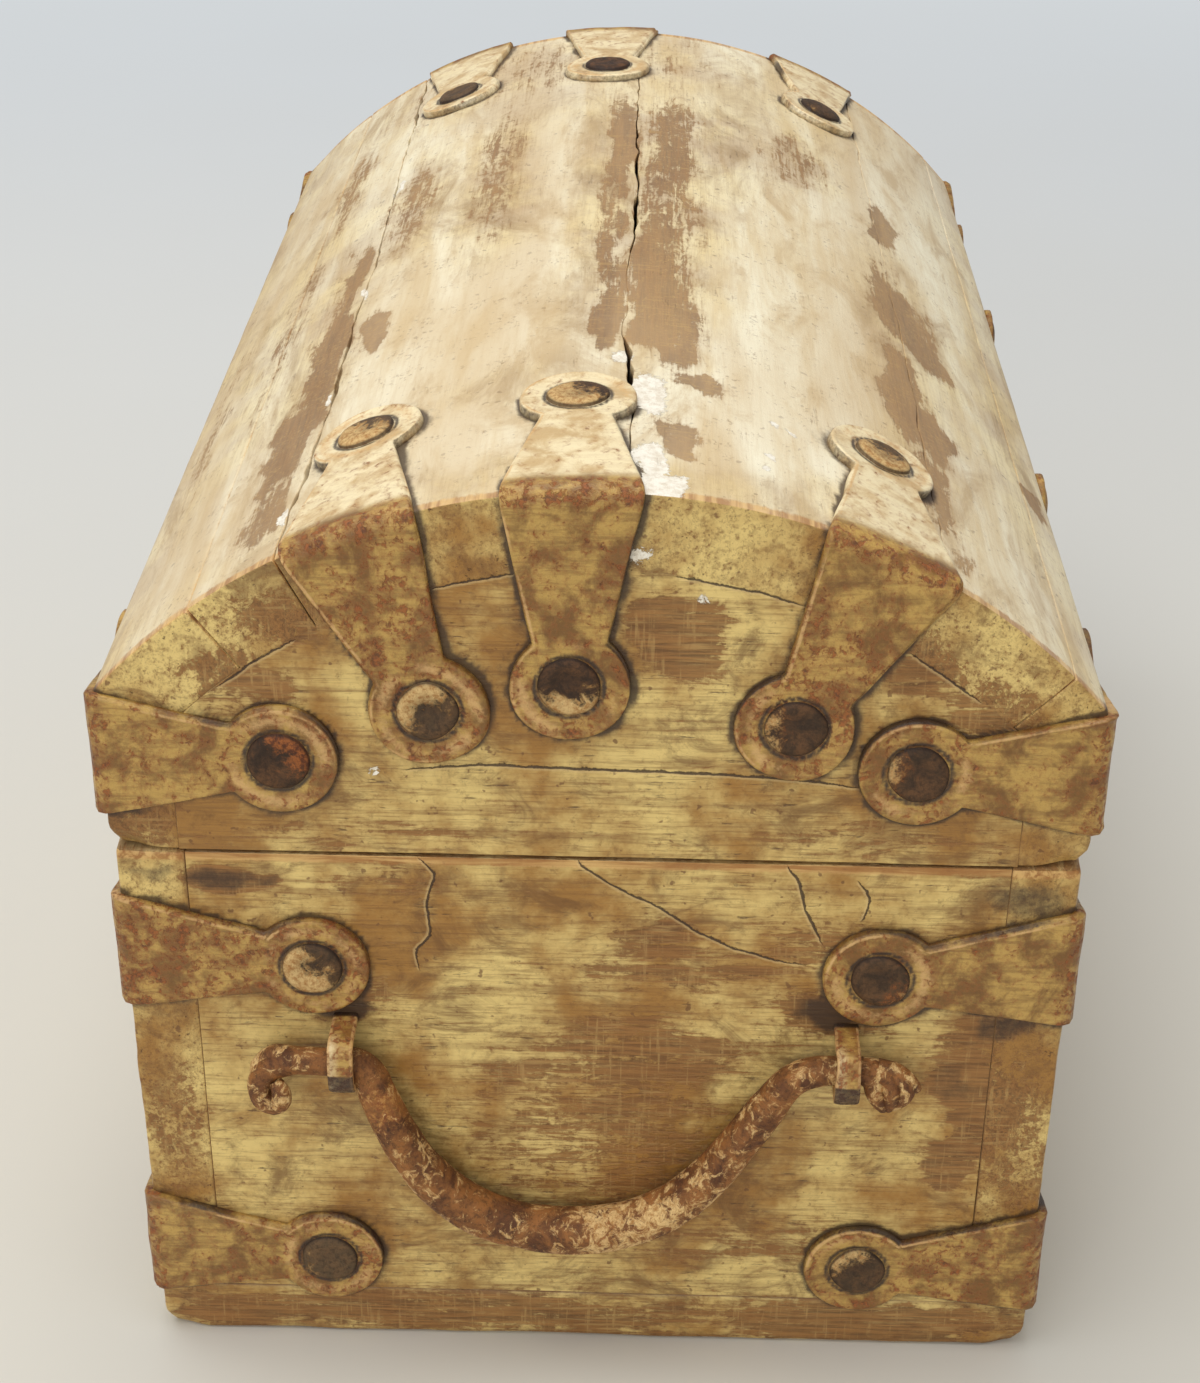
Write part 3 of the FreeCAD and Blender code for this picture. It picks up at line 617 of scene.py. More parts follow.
class Strap:
    """One strap's name, layout and the way its unrolled strip lies on the chest."""

    def __init__(self, name, kind, along, centre, reach, seed, across=1, half_width=BOX_HALF_WIDTH,
                 drop=0.0, lean=0.0, body="box"):
        self.name = name
        self.kind = kind
        self.along = along
        self.centre = centre
        self.end_reach, self.far_reach = reach
        self.seed = seed
        self.across = across
        self.half_width = half_width
        self.drop = drop
        self.lean = lean
        self.body = body

    def eye_place(self, s):
        """Distance along the strip to the eye on the same side of the fold."""
        return np.where(s > 0, strip_place(self.end_reach), strip_place(self.far_reach))

    def eye_shift(self, s):
        """How far that eye lies below the strip's middle at the fold."""
        return np.where(s > 0, self.drop + self.lean, self.drop)

    def line(self, s):
        """Sideways shift of the strip's middle line."""
        reach = np.where(s > 0, self.end_reach, self.far_reach)
        return -self.eye_shift(s) * np.clip(np.abs(s) / reach, 0, 1)

    def taper(self, s):
        """Half width of the strip without its eyes."""
        part = np.clip(np.abs(s) / self.eye_place(s), 0, 1)
        return FOLD_HALF + (NECK_HALF - FOLD_HALF) * part

    def half(self, s):
        """Half width of the strip, eyes included."""
        past = np.abs(s) - self.eye_place(s)
        eye = np.sqrt(np.maximum(EYE_RADIUS ** 2 - past ** 2, 0))
        return np.maximum(np.where(past > 0, 0, self.taper(s)), eye)

    def inside(self, s, w):
        """Distance inside the outline, negative outside it."""
        past = np.abs(s) - self.eye_place(s)
        strip = np.minimum(self.taper(s) - np.abs(w - self.line(s)), -past)
        eye = EYE_RADIUS - np.hypot(past, w + self.eye_shift(s))
        return np.maximum(strip, eye)

    def place(self, s, w, h):
        """Chest coordinates of points on the strip."""
        arc = BEND * math.pi / 4
        past = np.maximum(np.abs(s) - arc, 0)
        angle = math.pi / 4 - np.clip(s / arc, -1, 1) * math.pi / 4
        x = self.along * (HALF_LENGTH - BEND + (BEND + h) * np.cos(angle) - np.where(s < 0, past, 0))
        out = (BEND + h) * np.sin(angle) - BEND - np.where(s > 0, past, 0)
        if self.kind == "corner":
            return np.stack([x, self.across * (self.half_width + out), self.centre + w], axis=1)
        radius = ARCH_RADIUS + out
        turn = math.radians(self.centre) + w / radius
        return np.stack([x, radius * np.cos(turn), ARCH_HEIGHT + radius * np.sin(turn)], axis=1)

    def lay(self, points):
        """Strip coordinates (s, w) of chest points on the wood under the strap."""
        x = np.abs(points[:, X])
        if self.kind == "corner":
            on_end = x > HALF_LENGTH - 1.5
            s = np.where(on_end, self.half_width - self.across * points[:, Y], x - HALF_LENGTH)
            w = points[:, Z] - self.centre
        else:
            radius = np.hypot(points[:, Y], points[:, Z] - ARCH_HEIGHT)
            on_end = radius < ARCH_RADIUS - 1.5
            s = np.where(on_end, ARCH_RADIUS - radius, x - HALF_LENGTH)
            angle = np.arctan2(points[:, Z] - ARCH_HEIGHT, points[:, Y])
            w = (angle - math.radians(self.centre)) * radius
        shift = BEND * (1 - math.pi / 4)
        return np.sign(s) * np.maximum(np.abs(s) - shift, 0), w

    def eyes(self):
        """Strip coordinates of the two eyes: on the end, and on the side or top."""
        return [
            (strip_place(self.end_reach), -self.drop - self.lean),
            (-strip_place(self.far_reach), -self.drop),
        ]


def all_straps():
    """Three rows of corner straps and three arch straps at each end of the lid."""
    rows = {
        "upper_strap": (107.5, (39.7, 39.7), dict(drop=3.0)),
        "lower_strap": (27.0, (39.7, 39.7), dict(drop=3.0)),
        "lid_strap": (155.0, (36.5, 36.5), dict(half_width=LID_HALF_WIDTH, body="lid")),
    }
    arches = {"front": (111.4, 0.0), "middle": (92.4, -1.8), "back": (65.0, 0.0)}
    arch_reach = (41.0, 43.0)
    straps = []
    for end, along in ENDS.items():
        for row, (level, reach, more) in rows.items():
            for side, across in SIDES.items():
                name = f"{row}_{side}_{end}"
                seed = 20 + len(straps)
                straps.append(Strap(name, "corner", along, level, reach, seed, across=across, **more))
        for arch, (angle, lean) in arches.items():
            name = f"arch_strap_{arch}_{end}"
            seed = 20 + len(straps)
            straps.append(Strap(name, "arch", along, angle, arch_reach, seed, lean=lean, body="lid"))
    return straps


STRAPS = all_straps()


def strap_lines(reach):
    """Grid lines along one leg of a strap, finer round the tip of the eye."""
    straight = np.arange(0.0, reach, 0.9)
    tip = reach + EYE_RADIUS * np.sin(np.linspace(0, math.radians(87), 18))
    return np.concatenate([straight, tip])


def make_strap(strap, material):
    """Thin plate with rounded, slightly raised edges, bent over its corner."""
    end_lines = strap_lines(strip_place(strap.end_reach))
    far_lines = strap_lines(strip_place(strap.far_reach))
    s_lines = np.concatenate([-far_lines[:0:-1], end_lines])
    t_lines = np.sin(np.linspace(-math.pi / 2, math.pi / 2, 37))
    h_lines = np.array([0.0, 0.5, 1.0])
    grid, faces = block_shell([s_lines, t_lines, h_lines])
    s, t, level = grid.T
    flat = np.stack([s, t * 10, np.zeros(len(s))], axis=1)
    waver = 1 + 0.025 * line_noise(s, 9, strap.seed)
    w = strap.line(s) + t * strap.half(s) * waver + 0.35 * line_noise(s, 25, strap.seed + 3)
    depth = np.maximum(strap.inside(s, w), 0)
    rounding = 0.55
    slope = rounding - np.minimum(depth, rounding)
    top = STRAP - 0.9 + np.sqrt(np.maximum(rounding ** 2 - slope ** 2, 0))
    top += 0.3 * bell(depth - 0.8, 0.55) * (0.5 + 0.5 * line_noise(s, 14, strap.seed + 4))
    top += 0.22 * rough_noise(flat, 6, strap.seed + 5)
    dish = [bell(np.hypot(s - eye_s, w - eye_w), 8.0, 4) for eye_s, eye_w in strap.eyes()]
    top -= 0.35 * np.maximum(*dish)
    points = strap.place(s, w, -STRAP_SINK + level * (top + STRAP_SINK))
    paint = strap_paint(strap, s, w, depth)
    return add_piece(strap.name + "_iron", points, faces, strap.body, "painted_iron", [strap.name],
                     material, paint=paint)


def strap_paint(strap, s, w, depth):
    """Painted highlight on the upper rim and on the eyes' rims, dirt and painted shade along the edge and
    round the nails, rust by the eyes and the fold, and a pale top on arch straps.
    """
    upper = smooth(-4, 4, w - strap.line(s))
    # Painted highlight along the strap's edge, strongest on its upper side; dirt and painted shade on the
    # outline itself
    rim = bell(depth - 0.7, 0.4) * (0.2 + 0.7 * upper) * (0.7 + 0.5 * line_noise(s, 6, strap.seed + 2))
    dirt_and_shade = (0.45 + 0.4 * line_noise(s, 12, strap.seed + 6)) * bell(depth, 0.4)
    rust = 0.15 + 0.12 * line_noise(s, 18, strap.seed + 7)
    lit = 0.42 + 0.3 * line_noise(s + 2 * w, 8, strap.seed + 10)
    for eye_s, eye_w in strap.eyes():
        away = np.hypot(s - eye_s, w - eye_w)
        rust = np.maximum(rust, 0.22 * bell(away - 10.5, 2.0))
        # Painted shade round each nail head, and a painted highlight on the eye's raised rim
        dirt_and_shade = np.maximum(dirt_and_shade, 0.75 * bell(away - 6.8, 0.7))
        rim = np.maximum(rim, lit * bell(away - 9.4, 1.9))
    rust = np.maximum(rust, 0.28 * bell(s, 3.0))
    pale = 0.92 * smooth(-2, -6, s) * (strap.kind == "arch")
    return np.stack([rim, dirt_and_shade, rust * (1 - 0.8 * pale), pale], axis=1)


# Nails


# Nails seen in the photograph: paint left, rust, turn of both in degrees, tone of the iron, dish with its
# painted shade
NEAR_NAILS = {
    "lid_strap_front_right": (-0.30, 0.60, 50, 0.1, 0.6),
    "arch_strap_front_right": (0.50, 0.30, 130, 0.5, 0.7),
    "arch_strap_middle_right": (0.42, 0.20, 270, 0.1, 1.0),
    "arch_strap_back_right": (0.22, 0.40, 190, 0.2, 0.8),
    "lid_strap_back_right": (0.12, 0.35, 165, 0.2, 0.7),
    "upper_strap_front_right": (0.62, 0.40, 215, 0.4, 0.6),
    "upper_strap_back_right": (0.06, 0.35, 330, 0.3, 0.7),
    "lower_strap_front_right": (0.10, 0.20, 200, 0.8, 0.3),
    "lower_strap_back_right": (0.30, 0.30, 120, 0.4, 0.7),
}


def nail_head(centre, normal, seed, look):
    """Low uneven disc with a soft crown or a dish in its middle, and its rim let into the iron."""
    dish = look[-1]
    rings = np.array([0.14, 0.28, 0.42, 0.55, 0.67, 0.78, 0.87, 0.94, 0.99, 1.03, 1.04])
    around = np.linspace(0, 2 * math.pi, 40, endpoint=False)
    ring, angle = (part.ravel() for part in np.meshgrid(rings, around, indexing="ij"))
    # One more point in the middle of the crown, and one underneath
    ring = np.append(ring, [0.0, 0.0])
    angle = np.append(angle, [0.0, 0.0])
    flat = np.stack([np.cos(angle), np.sin(angle), np.zeros(len(ring))], axis=1)
    across = (ring * NAIL_RADIUS * (1 + 0.05 * value_noise(3 * flat, 2.2, seed)))[:, None]
    crown = NAIL_CROWN * np.sqrt(np.clip(1 - (ring / 1.04) ** 2.6, 0, 1)) - 0.4
    crown -= dish * 1.1 * bell(ring, 0.62, 4)
    crown += 0.14 * rough_noise(6 * ring[:, None] * flat, 3.5, seed + 1)
    crown = np.where(ring > 1.0, -NAIL_SINK, crown)
    crown[-1] = -NAIL_SINK
    up = Vector((0, 0, 1)) if abs(normal[Z]) < 0.6 else Vector((1, 0, 0))
    normal = Vector(normal).normalized()
    aside = up.cross(normal).normalized()
    above = normal.cross(aside)
    points = np.asarray(centre) + across * (flat[:, :2] @ np.array([aside, above]))
    points = points + crown[:, None] * np.array(normal)
    return points, ring_faces(len(rings), len(around)), nail_paint(ring, angle, look)


def nail_paint(ring, angle, look):
    """Paint left on one side of a nail's head, rust, painted shade in the groove round it and in its dish,
    and tone.
    """
    left, rust, turn, tone, dish = look
    bias = np.cos(angle - math.radians(turn)) * ring
    cover = left + 0.42 * bias - 0.2 * dish * (ring < 0.3)
    worn = rust * (0.5 + 0.9 * bias)
    # Painted shade in the dish, darker on its upper wall, and in the groove round the rim
    shaded = dish * bell(ring, 0.6, 4) * (0.35 + 0.35 * np.sin(angle))
    groove_shade = np.maximum(bell(ring - 1.0, 0.05), shaded)
    return np.stack([cover, worn, groove_shade, np.full(len(groove_shade), tone)], axis=1)


def nail_places():
    """Where each strap nail's head sits, and which way it faces, for the box and for the lid."""
    places = {"box": [], "lid": []}
    for strap in STRAPS:
        for count, (s, w) in enumerate(strap.eyes()):
            heights = np.array([STRAP - 0.3, STRAP + 0.7])
            foot, tip = strap.place(np.full(2, s), np.full(2, w), heights)
            look = NEAR_NAILS.get(strap.name) if count == 0 else None
            places[strap.body].append((foot, tip - foot, look))
    back = {"box": BOX_HALF_WIDTH + STRAP, "lid": LID_HALF_WIDTH + STRAP}
    for along in ENDS.values():
        for body, height in HINGE_NAILS.items():
            centre = np.array([along * HINGE_SIDE, back[body], height])
            places[body].append((centre, np.array([0, 1.0, 0]), None))
    return places


def chance_look(dice):
    """Look of a nail that the photograph doesn't show, in the same order as those it does."""
    left = dice.uniform(-0.1, 0.7)
    rust = dice.uniform(0, 0.5)
    turn = dice.uniform(0, 360)
    tone = dice.uniform(0, 0.8)
    return left, rust, turn, tone, dice.choice([0.0, 0.2, 0.6])


def make_nails(material):
    """All the strap nails of the box in one piece, and those of the lid in another."""
    dice = np.random.default_rng(7)
    for body, places in nail_places().items():
        heads = []
        for number, (centre, normal, look) in enumerate(places):
            if look is None:
                look = chance_look(dice)
            heads.append(nail_head(centre, normal, 300 + number, look))
        points, faces, paint = join(heads)
        add_piece(f"{body}_nail_heads", points, faces, body, "nail_iron", [f"{body}_nails"],
                  material, paint=paint)


# Wood


# Wear on the lid's top by place along and across the chest
LID_WEAR = [
    (10, 13, 100, 9.5, 0.60), (18, -1, 92, 5.0, 0.70), (75, 12, 34, 8, 0.85), (55, -66, 90, 4.5, 0.5),
    (66, -65, 42, 4.5, 1.0), (105, -66.5, 26, 6.0, 1.0), (8, -63.5, 26, 3.0, 0.9), (142, -67, 16, 5, 0.7),
    (56, -55.5, 11, 3.6, 1.0), (-30, -54, 46, 7, 0.55), (-40, -32, 66, 9, 0.5), (-79, -76, 42, 6, 0.5),
    (20, -80, 60, 6, 0.42), (60, -94, 70, 4, 0.4), (-55, 0, 55, 4.5, 0.85), (77, -1, 22, 4.2, 1.0),
    (-50, 13, 60, 9, 0.72), (25, 12, 20, 8, 0.7), (55, 10, 36, 7.5, 1.0), (86, 10, 15, 6, 1.0),
    (111, 20, 6, 8, 1.0), (139, 15, 7, 5, 0.9), (-44, 70, 18, 5, 1.0), (20, 69, 28, 8, 1.0),
    (35, 74, 18, 5, 1.0), (75, 66, 28, 6, 1.0), (90, 72, 18, 5, 1.0), (122, 67, 20, 5, 0.8),
    (150, 70, 12, 4, 0.6), (77, 97, 9, 4, 0.9), (-66, 48, 26, 11, 0.55), (-135, -20, 30, 60, 0.42),
]
# Faint brown stains on the lid's top
LID_STAIN = [
    (-10, 12, 110, 16, 0.55), (0, -4, 100, 9, 0.5), (40, -67, 100, 9, 0.45), (55, 70, 80, 12, 0.4),
    (-60, 26, 50, 14, 0.5), (-20, -32, 50, 13, 0.55), (-110, 0, 40, 70, 0.3), (158, 0, 9, 80, 0.35),
    (-30, -52, 50, 9, 0.45), (-40, -32, 66, 9, 0.5), (-50, 13, 60, 10, 0.4), (-66, 48, 26, 11, 0.5),
    (-135, -20, 28, 80, 0.35), (20, -82, 90, 7, 0.4), (-60, -76, 60, 7, 0.45), (155, -45, 14, 14, 0.4),
    (155, 40, 12, 20, 0.35), (110, -20, 14, 16, 0.25), (60, 90, 70, 6, 0.35),
]
# White flakes on the lid's top
LID_CHIPS = [
    (118, 9, 12, 4.2, 1.0), (150, 9, 9, 3.2, 1.0), (162, 12, 6, 5.5, 1.0), (123, 34, 1.6, 1.2, 0.9),
    (124.5, 38, 1.8, 1.5, 0.9), (139, 32, 1.5, 1.2, 0.9), (145, 32, 1.6, 1.2, 0.9), (26, -60, 4, 0.9, 0.9),
    (-55, -60, 7, 1.3, 0.9), (146, -63, 5, 1.0, 0.9), (90, -60, 3, 0.8, 0.9), (98, 3, 5, 2.5, 0.6),
]
# Wear on the near end, by place across the chest and height
END_WEAR = [
    (2, 58, 30, 26, 0.38), (0, 60, 19, 15, 0.42), (12, 84, 24, 9, 0.52), (18, 104, 26, 7, 0.42),
    (14, 112, 10, 6, 0.5), (45, 112, 14, 6, 0.42), (-14, 76, 16, 9, 0.38), (-42, 126, 16, 4, 0.35),
    (84, 68, 8, 18, 0.62), (83, 91, 9, 5, 0.75), (78, 78, 9, 8, 0.85), (80, 54, 6, 7, 0.7),
    (93, 100, 9, 8, 0.5), (93, 60, 8, 30, 0.35), (-93, 20, 8, 10, 0.45), (-93, 60, 7, 20, 0.35),
    (-30, 7, 60, 6, 0.42), (60, 6, 34, 7, 0.6), (-80, 5, 16, 5, 0.45), (-76, 124.5, 9, 3.6, 1.1),
    (15, 184, 12, 10, 0.8), (-72, 172, 12, 8, 0.5), (62, 178, 9, 8, 0.55),
    (74, 168, 12, 8, 0.45), (-60, 186, 14, 5, 0.5), (-92, 140, 8, 6, 0.5), (60, 139, 30, 4, 0.3),
    (-50, 138, 30, 3, 0.3), (-53, 96, 12, 5, 0.5), (52, 94, 14, 5, 0.6), (40, 30, 40, 7, 0.35),
]
# Cracks on the near end: half width, and points across the chest and up
END_CRACKS = [
    (0.22, [(-36.9, 132), (-33.1, 127.8), (-35.2, 120.3), (-34.3, 112.5), (-37.6, 108.1), (-37, 102.9)]),
    (0.22, [(-4.2, 132.7), (-3.2, 130.3), (5.2, 124.6), (13.1, 120.5), (21.1, 114.5), (28.2, 110.9),
            (37, 108.1), (44.8, 106.5)]),
    (0.25, [(38.7, 131.4), (41.3, 128), (43.1, 120.4), (47.1, 111.9)]),
    (0.2, [(53.2, 128.3), (55.2, 125.6), (56.0, 123.0), (55.6, 120.4), (54.5, 118.2)]),
    (0.18, [(-32, 193.4), (-25, 195.0), (-16, 196.9)]),
    (0.2, [(14, 197.2), (22, 195.6), (31, 193.9), (40, 190.9)]),
    (0.2, [(-75, 170.4), (-67, 176.9), (-59, 181.8)]),
    (0.18, [(60, 181.5), (68, 175.8), (75, 170.6)]),
    (0.28, [(-40, 152.6), (-23.4, 154.2), (0.5, 153.6), (24.4, 153), (40.3, 152.2), (53, 150.4)]),
]
# Gouged dark wood over the staples and other dark places
END_GRIME = [
    (-55, 94.5, 9, 3.2, 1.0), (55, 94.5, 11, 3.4, 1.0), (-76, 124.5, 10, 3.0, 0.68), (-94, 126, 5, 2.5, 0.6),
    (86, 91, 7, 4, 0.7), (76, 77, 6, 6, 0.45), (91, 125, 8, 4.6, 0.62), (76, 198, 8, 3, 0.5),
    (-95, 8, 4, 7, 0.4),
]
# White flakes on the near end
END_CHIPS = [
    (-43.5, 152.5, 1.6, 1.1, 0.7), (8, 202, 3.2, 1.8, 0.7), (-42, 204, 3, 1.4, 0.7),
    (20, 192, 2, 1.5, 0.5),
]
# The far end repeats only the first of the near end's zones of wear
FAR_END_ZONES = 8
# Grid on the end boards and panels, finer where the photograph shows them
FINE_GRID = {"right": 1.2, "left": 2.0}


def strap_grime_and_shadow(points):
    """Grime and painted shadow on the wood close to the straps' edges."""
    dirt_and_shade = np.zeros(len(points))
    for strap in STRAPS:
        near = np.sign(points[:, X]) == strap.along
        if strap.kind == "corner":
            near &= np.sign(points[:, Y]) == strap.across
        if not near.any():
            continue
        s, w = strap.lay(points[near])
        gap = np.maximum(-strap.inside(s, w), 0)
        # The dark line along the edge is grime with painted shadow, wider below each strap where its shadow
        # falls; the soft halo is brown grime
        low = 1.0 + 1.1 * smooth(2, -9, w - strap.line(s)) + 0.5 * line_noise(s, 9, strap.seed + 8)
        dark = 0.9 + 0.4 * line_noise(s + 2 * w, 7, strap.seed + 9)
        halo = (0.26 + 0.2 * value_noise(points[near], 11, 131)) * bell(gap, 6.0)
        dirt_and_shade[near] = np.maximum(dirt_and_shade[near], np.maximum(halo, dark * bell(gap, 0.8 * low)))
    return dirt_and_shade


def survey(points, outward):
    """Which face of the chest each point is on, and ragged coordinates there for the painted zones."""
    at = SimpleNamespace(points=points)
    at.x, at.y, at.z = points.T
    at.lid = at.z > LID_LOW
    at.end_on = np.abs(outward[:, X]) > 0.7
    at.near_end = (outward[:, X] > 0.7) & (at.x > HALF_LENGTH - 6)
    at.far_end = at.end_on & ~at.near_end & (at.x < 0)
    at.radius = np.hypot(at.y, at.z - ARCH_HEIGHT)
    at.top = at.lid & ~at.end_on & (at.z > 150) & (at.radius > ARCH_RADIUS - 6)
    at.rim = (np.where(at.lid, -1, 1) * outward[:, Z] > 0.7) & (np.abs(at.z - BOX_TOP) < 3)
    broad_u, broad_v = (rough_noise(points, (16, 9, 9), seed) for seed in (101, 103))
    at.fine_u, at.fine_v = (rough_noise(points, (7, 4, 4), seed) for seed in (105, 107))
    at.top_u = at.x + 14 * broad_u + 4 * at.fine_u
    at.top_v = at.y + 4.5 * broad_v + 1.5 * at.fine_v
    at.end_u = at.y + 9 * broad_u + 3 * at.fine_u
    at.end_v = at.z + 4 * broad_v + 1.5 * at.fine_v
    return at


def worn_paint(at):
    """How far the paint is worn: zones on the lid and the ends, the foot, and the rim under the lid."""
    roof_end = 0.04 * smooth(ARCH_INNER - 1, ARCH_INNER + 1, at.radius) * at.lid
    wear = 0.16 + 0.2 * rough_noise(at.points, 45, 11)
    wear = np.where(at.near_end, 0.15 + roof_end + blobs(at.end_u, at.end_v, END_WEAR), wear)
    wear = wear + 0.16 * smooth(16, 12, at.z) * at.end_on
    wear = np.where(at.top, -0.1 + 1.1 * blobs(at.top_u, at.top_v, LID_WEAR), wear)
    far_zones = blobs(-at.end_u, at.end_v, END_WEAR[:FAR_END_ZONES])
    wear = np.where(at.far_end, 0.2 + roof_end + far_zones, wear)
    return np.where(at.rim, 0.45 + 0.25 * rough_noise(at.points, 24, 133), wear)


def rubbed_edges(at, arris):
    """Edges rubbed to bare wood: every arris, the box's upper edge and the ends of the lid's top."""
    rubbed = 0.75 * arris * (0.6 + 0.4 * rough_noise(at.points, 20, 13))
    rubbed = np.maximum(rubbed, 0.95 * smooth(BOX_TOP - 2.7, BOX_TOP - 1.2, at.z) * ~at.lid)
    rubbed = np.maximum(rubbed, 0.85 * smooth(HALF_LENGTH - 5, HALF_LENGTH - 1, np.abs(at.x)) * at.top)
    return np.where(at.rim, 0.25 * rubbed, rubbed)


def wood_marks(points, outward, arris, bare):
    """Painted attributes of a wooden piece from where its points lie and which way they face."""
    at = survey(points, outward)
    # Grime and painted shadow along the straps, and darker towards the foot of the box
    dirt_and_shade = strap_grime_and_shadow(points) + 0.35 * smooth(8, 0, at.z) * ~at.lid
    dirt_and_shade = np.maximum(dirt_and_shade, np.where(at.near_end, blobs(at.end_u, at.end_v, END_GRIME), 0))
    top_cream = 0.5 + 0.5 * smooth(160, 190, at.z) - blobs(at.top_u, at.top_v, LID_STAIN)
    cream = np.where(at.top, top_cream, np.where(at.end_on, 0.0, 0.25))
    end_chip = blobs(at.y + 2 * at.fine_u, at.z + 2 * at.fine_v, END_CHIPS)
    top_chip = blobs(at.x + 4 * at.fine_u, at.y + 2.5 * at.fine_v, LID_CHIPS)
    chip = np.where(at.top, top_chip, np.where(at.near_end, end_chip, 0.0))
    side, width = crack_field(at.y, at.z, END_CRACKS)
    width = np.where(at.near_end, width, 0.0)
    paint = np.stack([worn_paint(at), dirt_and_shade, cream, rubbed_edges(at, arris)], axis=1)
    marks = np.stack([chip, np.broadcast_to(bare, len(points)), side, width], axis=1)
    return paint, marks


def wear_corners(points):
    """Pull the upright corners in unevenly, and more so at the foot of the box and of the lid."""
    x, y, z = points.T
    away = np.hypot(HALF_LENGTH - np.abs(x), np.maximum(BOX_HALF_WIDTH - np.abs(y), 0))
    corner = smooth(11, 0, away)
    foot = np.maximum(smooth(7, 0, z), smooth(LID_LOW + 7, LID_LOW, z) * (z > BOX_TOP + 0.2)) ** 2
    pull = corner * (0.2 + 0.5 * rough_noise(points, (30, 30, 14), 121) + 1.8 * foot)
    pull = np.maximum(pull, 0)
    return points - np.stack([np.sign(x) * pull, np.sign(y) * pull, np.zeros(len(x))], axis=1)


def add_wood(name, points, faces, outward, arris, bare, body, material):
    """Wooden piece with worn corners and its painted attributes."""
    points = wear_corners(points)
    paint, marks = wood_marks(points, outward, arris, bare)
    return add_piece(name + "_wood", points, faces, body, "painted_wood", [name], material,
                     paint=paint, marks=marks)


def make_board(name, low, high, step, rounding, seed, inner, material):
    """Flat board between two corners; `inner` is the side that shows bare wood inside the box."""
    size = np.subtract(high, low)
    points, faces, arris, outward = worn_block(size, step, rounding, seed)
    bare = smooth(0.4, 0.8, outward @ np.array(inner, float))
    points = points + np.array(low)
    return add_wood(name, points, faces, outward, arris, bare, "box", material)


def make_box(along_x, along_y):
    """Bottom board, front and back boards, and the two end boards between them."""
    length, width = HALF_LENGTH, BOX_HALF_WIDTH
    make_board("bottom_board", (-length, -width, 0), (length, width, BOTTOM), (2.5, 2.0, 2.0), 2.4, 31,
               (0, 0, 1), along_y)
    foot = BOTTOM - LAP
    for side, across in SIDES.items():
        low = min(across * width, across * (width - BOARD))
        make_board(f"{side}_board", (-length, low, foot), (length, low + BOARD, BOX_TOP), (2.0, 2.0, 1.8),
                   1.6, 33 + across, (0, -across, 0), along_x)
    edge = width - BOARD + LAP
    for end, along in ENDS.items():
        low = min(along * length, along * (length - BOARD))
        fine = FINE_GRID[end]
        make_board(f"{end}_end_board", (low, -edge, foot), (low + BOARD, edge, BOX_TOP), (2.5, fine, fine),
                   0.6, 37 + along, (-along, 0, 0), along_y)


# Line of each open joint between staves: place along the chest, shift across, opening
JOINT_LINES = (
    ((-166, 1.6, 0.3), (-130, 1.8, 0.5), (-70, 2.2, 0.25), (-8, 2.8, 0.2), (49, 3.0, 0.3), (92, 2.4, 0.4),
     (139, 2.2, 0.5), (166, 2.0, 0.5)),
    ((-166, 0.0, 0.3), (-75, 0.4, 0.5), (-58, 0.5, 1.0), (-27, 1.1, 1.5), (-3, 1.0, 1.2), (24, 1.0, 0.7),
     (43, -0.3, 0.25), (68, -0.3, 0.15), (86, -0.8, 0.2), (95, 1.0, 1.4), (112, 0.9, 1.2), (132, 1.8, 0.8),
     (166, 2.0, 0.7)),
    ((-166, 0.4, 0.4), (-130, 0.6, 1.6), (-112, 1.0, 1.2), (-86, 1.0, 0.4), (-25, 2.0, 0.7), (5, 2.8, 0.6),
     (27, 1.9, 0.8), (71, 1.8, 0.9), (95, 2.8, 1.1), (108, 1.6, 0.9), (131, 1.9, 1.4), (145, 0.4, 0.6),
     (166, 0.2, 0.4)),
)


def joint_edges(x, number):
    """Both edges of an open joint, as arc lengths from the middle line of the joint in the solids."""
    place, shift, opening = zip(*JOINT_LINES[number])
    seed = 61 + number
    middle = np.interp(x, place, shift) + 0.35 * line_noise(x, 9, seed) + 0.25 * line_noise(x, 3.5, seed + 1)
    gap = np.interp(x, place, opening) * (0.75 + 0.5 * line_noise(x, 5, seed + 2)) / 2
    gap = np.maximum(gap - 0.2, -0.4)
    return -middle - gap, -middle + gap


def make_stave(name, number, material):
    """Stave of the roof, counted from the back, between its joints and bent to the arch."""
    joints = np.array([0.0, *STAVE_JOINTS, 1.0])
    arcs = (math.radians(STAVE_LOW_ANGLE) + math.radians(STAVE_ARC) * joints) * ARCH_RADIUS
    low_arc, high_arc = arcs[number:number + 2]
    size = (2 * HALF_LENGTH, high_arc - low_arc, STAVE)
    points, faces, arris, outward = worn_block(size, (1.5, 1.2, 3.0), 0.6, 51 + number, 0.3)
    x = points[:, X] - HALF_LENGTH
    low_edge = joint_edges(x, number - 1)[HIGH] if number > 0 else np.zeros(len(x))
    high_edge = joint_edges(x, number)[LOW] if number < len(STAVE_JOINTS) else np.zeros(len(x))
    part = points[:, Y] / size[Y]
    angle = (low_arc + low_edge + part * (size[Y] + high_edge - low_edge)) / ARCH_RADIUS
    radius = ARCH_INNER + points[:, Z]
    placed = np.stack([x, radius * np.cos(angle), ARCH_HEIGHT + radius * np.sin(angle)], axis=1)
    bare = smooth(-0.4, -0.8, outward[:, Z])
    return add_wood(name, placed, faces, outward, arris, bare, "lid", material)


